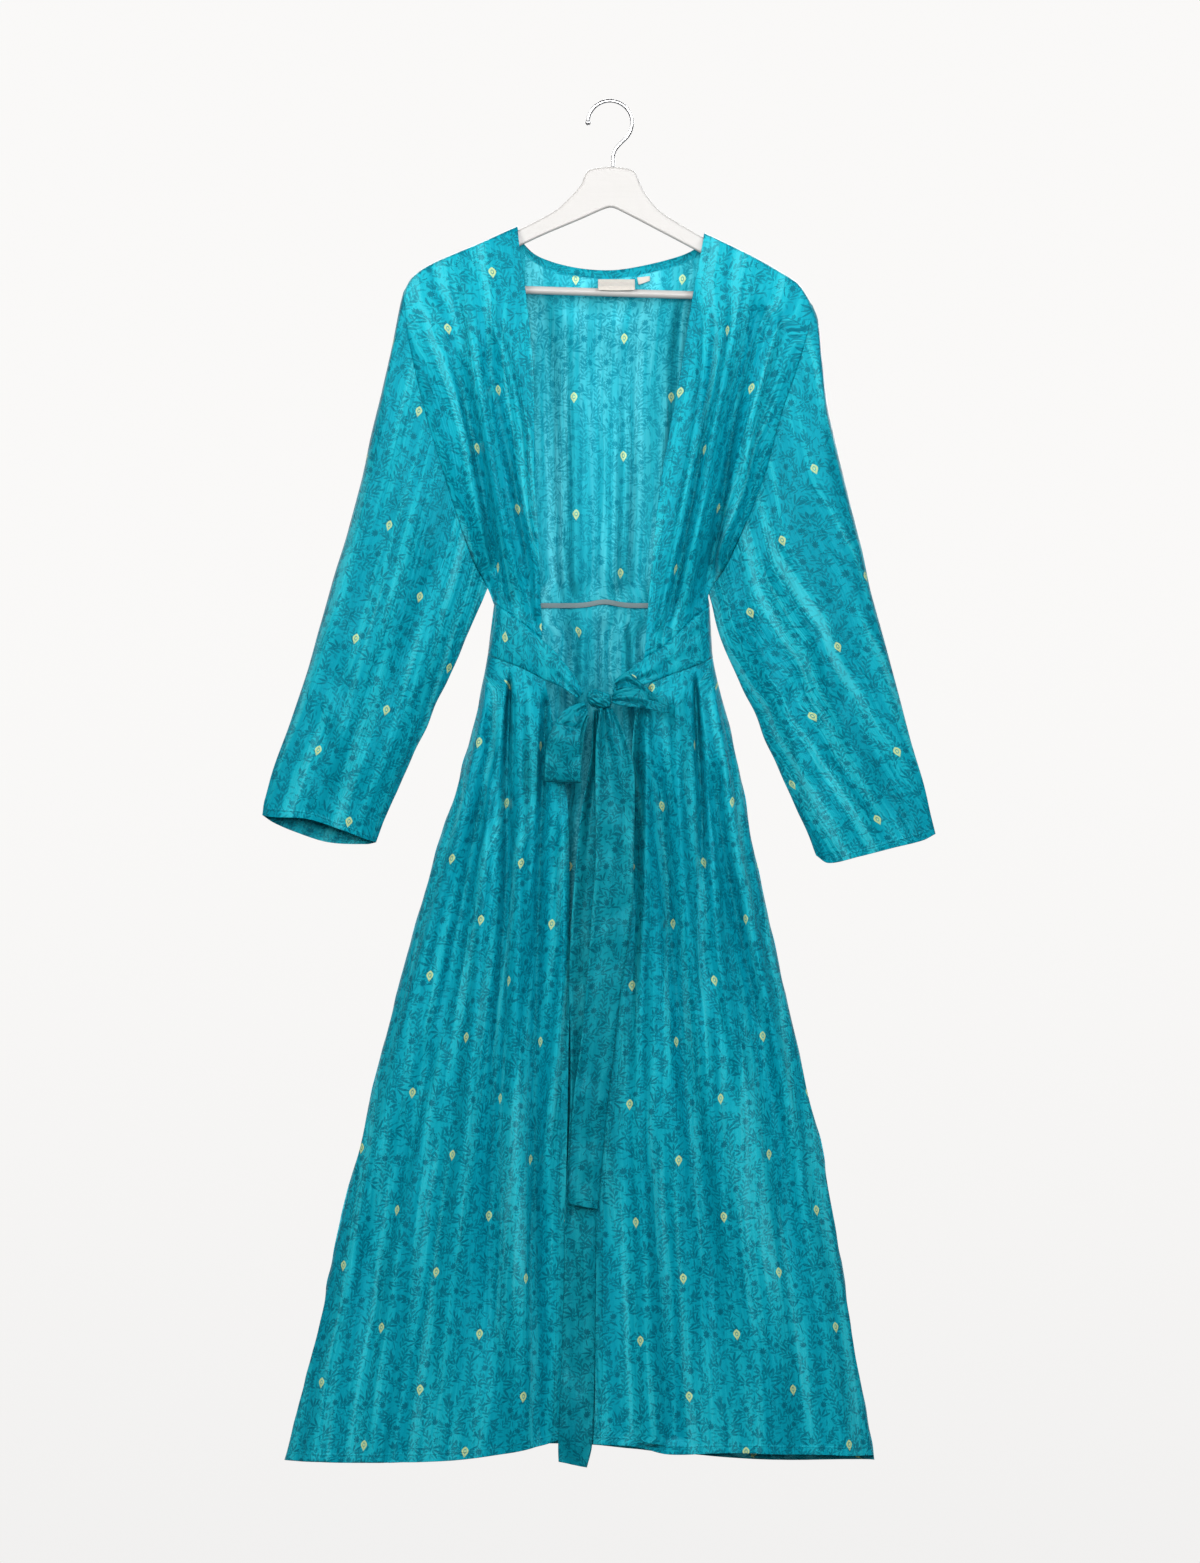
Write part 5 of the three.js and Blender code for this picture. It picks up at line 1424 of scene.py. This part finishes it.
def hanger_body(material):
    """Flat wooden body with rounded edges."""
    upper = through(HANGER_UPPER)(np.linspace(0, 1, 150))
    lower = through(HANGER_LOWER)(np.linspace(0, 1, 100))
    outline = np.concatenate([upper, lower])
    count = len(outline)
    half = ARM_THICK / 2
    front = np.stack([outline[:, 0], np.full(count, -half), outline[:, 1]], axis=-1)
    back = front * [1, -1, 1]
    faces = [list(range(count))[::-1], list(range(count, 2 * count))]
    for i in range(count):
        j = (i + 1) % count
        faces.append([i, j, j + count, i + count])
    made = mesh_object("hanger_body_wood", np.concatenate([front, back]), faces, [material])
    rounded = made.modifiers.new("rounded", "BEVEL")
    rounded.width = ARM_ROUND * MM
    rounded.segments = 4
    rounded.limit_method = "ANGLE"
    rounded.angle_limit = math.radians(60)
    rounded.harden_normals = True
    stand_for(made, "wood_white", "hanger_body")


def swept(name, path, radii, material):
    """Round bar along a path in the XZ plane, its radius given at each point, with closed tips."""
    path = np.array(path, float)
    tangent = np.gradient(path, axis=0)
    tangent /= np.linalg.norm(tangent, axis=1)[:, None]
    side = np.stack([-tangent[:, 1], tangent[:, 0]], axis=-1)
    sides = 24
    a = np.linspace(0, 2 * np.pi, sides, endpoint=False)
    r = np.array(radii, float)[:, None]
    x = path[:, 0:1] + r * np.cos(a) * side[:, 0:1]
    z = path[:, 1:2] + r * np.cos(a) * side[:, 1:2]
    y = r * np.sin(a) + 0 * x
    points = np.stack([x, y, z], axis=-1).reshape(-1, 3)
    tips = [list(range(sides)), list(range(len(points) - sides, len(points)))[::-1]]
    return mesh_object(name, points, quads(len(path), sides, ring=True) + tips, [material])


def hanger_bar(material):
    """Round trouser bar between the arms."""
    (x0, z0), (x1, z1) = BAR_ENDS
    t = np.linspace(0, 1, 60)
    path = np.stack([mix(x0, x1, t), mix(z0, z1, t)], axis=-1)
    made = swept("hanger_bar_wood", path, np.full(len(t), BAR_R), material)
    stand_for(made, "wood_white", "hanger_bar")


def hook(material):
    """Polished wire hook: the ball at its tip, the bend, the neck and the stem, in one sweep."""
    middle = -(HOOK_R - WIRE_R)
    a = np.radians(np.linspace(172, -50, 90))
    bend = np.stack([HOOK_R * np.cos(a), middle + HOOK_R * np.sin(a)], axis=-1)
    neck = through([bend[-1].tolist()] + HOOK_NECK)(np.linspace(0, 1, 40))[1:]
    drop = np.linspace(math.pi, 0.75, 14)
    tip = bend[0] + np.array([0.0, -TIP_R])
    ball = np.stack([np.full(len(drop), tip[0]), tip[1] + TIP_R * np.cos(drop)], axis=-1)
    ball_r = np.maximum(TIP_R * np.sin(drop), 0.05)
    radii = np.concatenate([ball_r, np.full(len(bend) + len(neck), WIRE_R)])
    made = swept("hanger_hook_wire", np.concatenate([ball, bend, neck]), radii, material)
    stand_for(made, "chrome", "hanger_hook", "hook_tip")


# ---------------------------------------------------------------- studio

def box(name, low, high, material):
    """A plain block of the room, which isn't part of the object."""
    (x0, y0, z0), (x1, y1, z1) = low, high
    points = [[x, y, z] for x in (x0, x1) for y in (y0, y1) for z in (z0, z1)]
    faces = [[0, 1, 3, 2], [4, 6, 7, 5], [0, 4, 5, 1], [2, 3, 7, 6], [0, 2, 6, 4], [1, 5, 7, 3]]
    made = mesh_object(name, points, faces, [material])
    made.data.polygons.foreach_set("use_smooth", [False] * 6)


def area_light(name, place, target, size, power, colour):
    """A soft lamp aimed at a target, which the camera doesn't see."""
    data = bpy.data.lights.new(name, "AREA")
    data.shape = "RECTANGLE"
    data.size, data.size_y = size
    data.energy = power
    data.color = colour
    made = bpy.data.objects.new(name, data)
    made.location = place
    aim = np.array(target) - np.array(place)
    made.rotation_euler = (
        math.atan2(math.hypot(aim[0], aim[1]), -aim[2]), 0.0, math.atan2(aim[1], aim[0]) - math.pi / 2,
    )
    made.visible_camera = False
    bpy.context.scene.collection.objects.link(made)


def studio():
    box("wall", (-11000, 12000, -6000), (11000, 12050, 7000), wall_material())
    box("floor", (-11000, -11000, -6020), (11000, 12000, -6000), floor_material())
    area_light("key", (-1.9, -1.9, 0.9), (0, 0, -0.4), (1.4, 2.0), 58, (1.0, 0.985, 0.965))
    area_light("fill", (1.9, -1.9, 0.9), (0, 0, -0.4), (1.4, 2.0), 52, (0.97, 0.985, 1.0))
    area_light("front", (0.1, -4.5, 0.30), (0, 0, -0.45), (1.3, 1.6), 92, (1.0, 0.995, 0.99))
    area_light("rear", (0.3, 4.5, 0.8), (0, 0, -0.6), (2.5, 2.0), 100, (1.0, 1.0, 1.0))
    world = bpy.data.worlds.new("studio")
    world.use_nodes = True
    world.node_tree.nodes["Background"].inputs[0].default_value = (1.0, 1.0, 1.0, 1)
    world.node_tree.nodes["Background"].inputs[1].default_value = 0.14
    bpy.context.scene.world = world
    bpy.context.scene.view_settings.view_transform = "Standard"


def camera():
    """Camera level with the middle of the photograph, straight in front of it."""
    data = bpy.data.cameras.new("camera")
    made = bpy.data.objects.new("camera", data)
    x = (PHOTO_W / 2 - ORIGIN_PIXEL[0]) * MM_PER_PIXEL
    z = (ORIGIN_PIXEL[1] - PHOTO_H / 2) * MM_PER_PIXEL
    made.location = (x * MM, -CAMERA_DISTANCE * MM, z * MM)
    made.rotation_euler = (math.pi / 2, 0, 0)
    data.sensor_fit = "VERTICAL"
    data.sensor_height = 36.0
    data.lens = data.sensor_height * (CAMERA_DISTANCE + FOCUS_PLANE_Y) / (PHOTO_H * MM_PER_PIXEL)
    data.clip_end = 50
    bpy.context.scene.collection.objects.link(made)
    bpy.context.scene.camera = made


# ---------------------------------------------------------------- build


def main():
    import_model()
    camera()
    studio()
    # One silk in lit and shaded copies: each piece's colour is scaled by its own painted light factor,
    # with the painted sheen streaks stronger or weaker.
    body = silk("silk", painted_light=1.0)
    inside = silk("silk_inside_painted_light", painted_light=1.42, inks=(INSIDE, INSIDE_PAINTED_SHEEN, INSIDE_MOTIF))
    bands = silk("silk_bands_painted_shade", painted_light=0.92, sheen_paint_and_ripple=0.6, turned_print=True)
    ties = silk("silk_ties_painted_shade", painted_light=0.68, sheen_paint_and_ripple=0.6)
    front = silk("silk_bodice_painted_light", painted_light=1.07, sheen_paint_and_ripple=1.35)
    arm = silk("silk_sleeves_painted_sheen", painted_light=0.98, sheen_paint_and_ripple=1.35)
    bodice_front(-1, SHOULDER_LEFT, ARMHOLE_LEFT, FRONT_LEFT, BAND_LEFT, front, seed=11)
    bodice_front(1, SHOULDER_RIGHT, ARMHOLE_RIGHT, FRONT_RIGHT, BAND_RIGHT, front, seed=21)
    bodice_back(body, inside)
    neck_band(body)
    sleeve(-1, SLEEVE_LEFT, BAND_LEFT["upper"][0], arm, seed=31)
    sleeve(1, SLEEVE_RIGHT, BAND_RIGHT["upper"][0], arm, seed=36)
    waistband(-1, BAND_LEFT, bands, seed=51)
    waistband(1, BAND_RIGHT, bands, seed=56)
    skirt_front(-1, BAND_LEFT, SKIRT_EDGE_LEFT, HEM_LEFT, 1, body, seed=101)
    skirt_front(1, BAND_RIGHT, SKIRT_EDGE_RIGHT, HEM_RIGHT, 2, body, seed=111)
    skirt_back(body, inside)
    knot(ties)
    loop("bow_loop_left", LOOP_LEFT, 5, ties, swell=2.5, fold_at=0.17, fold_depth=2.4)
    loop("bow_loop_right", LOOP_RIGHT, 8, ties, swell=1.5, fold_at=0.30, fold_depth=2.0)
    tail("tie_tail_long", TAIL_LONG, 13, ties)
    tail("tie_tail_short", TAIL_SHORT, 17, ties)
    waist_tape(tape_material())
    label = label_material()
    neck_label(label)
    size_tab(label)
    wood = paint_material()
    hanger_body(wood)
    hanger_bar(wood)
    hook(chrome_material())


main()
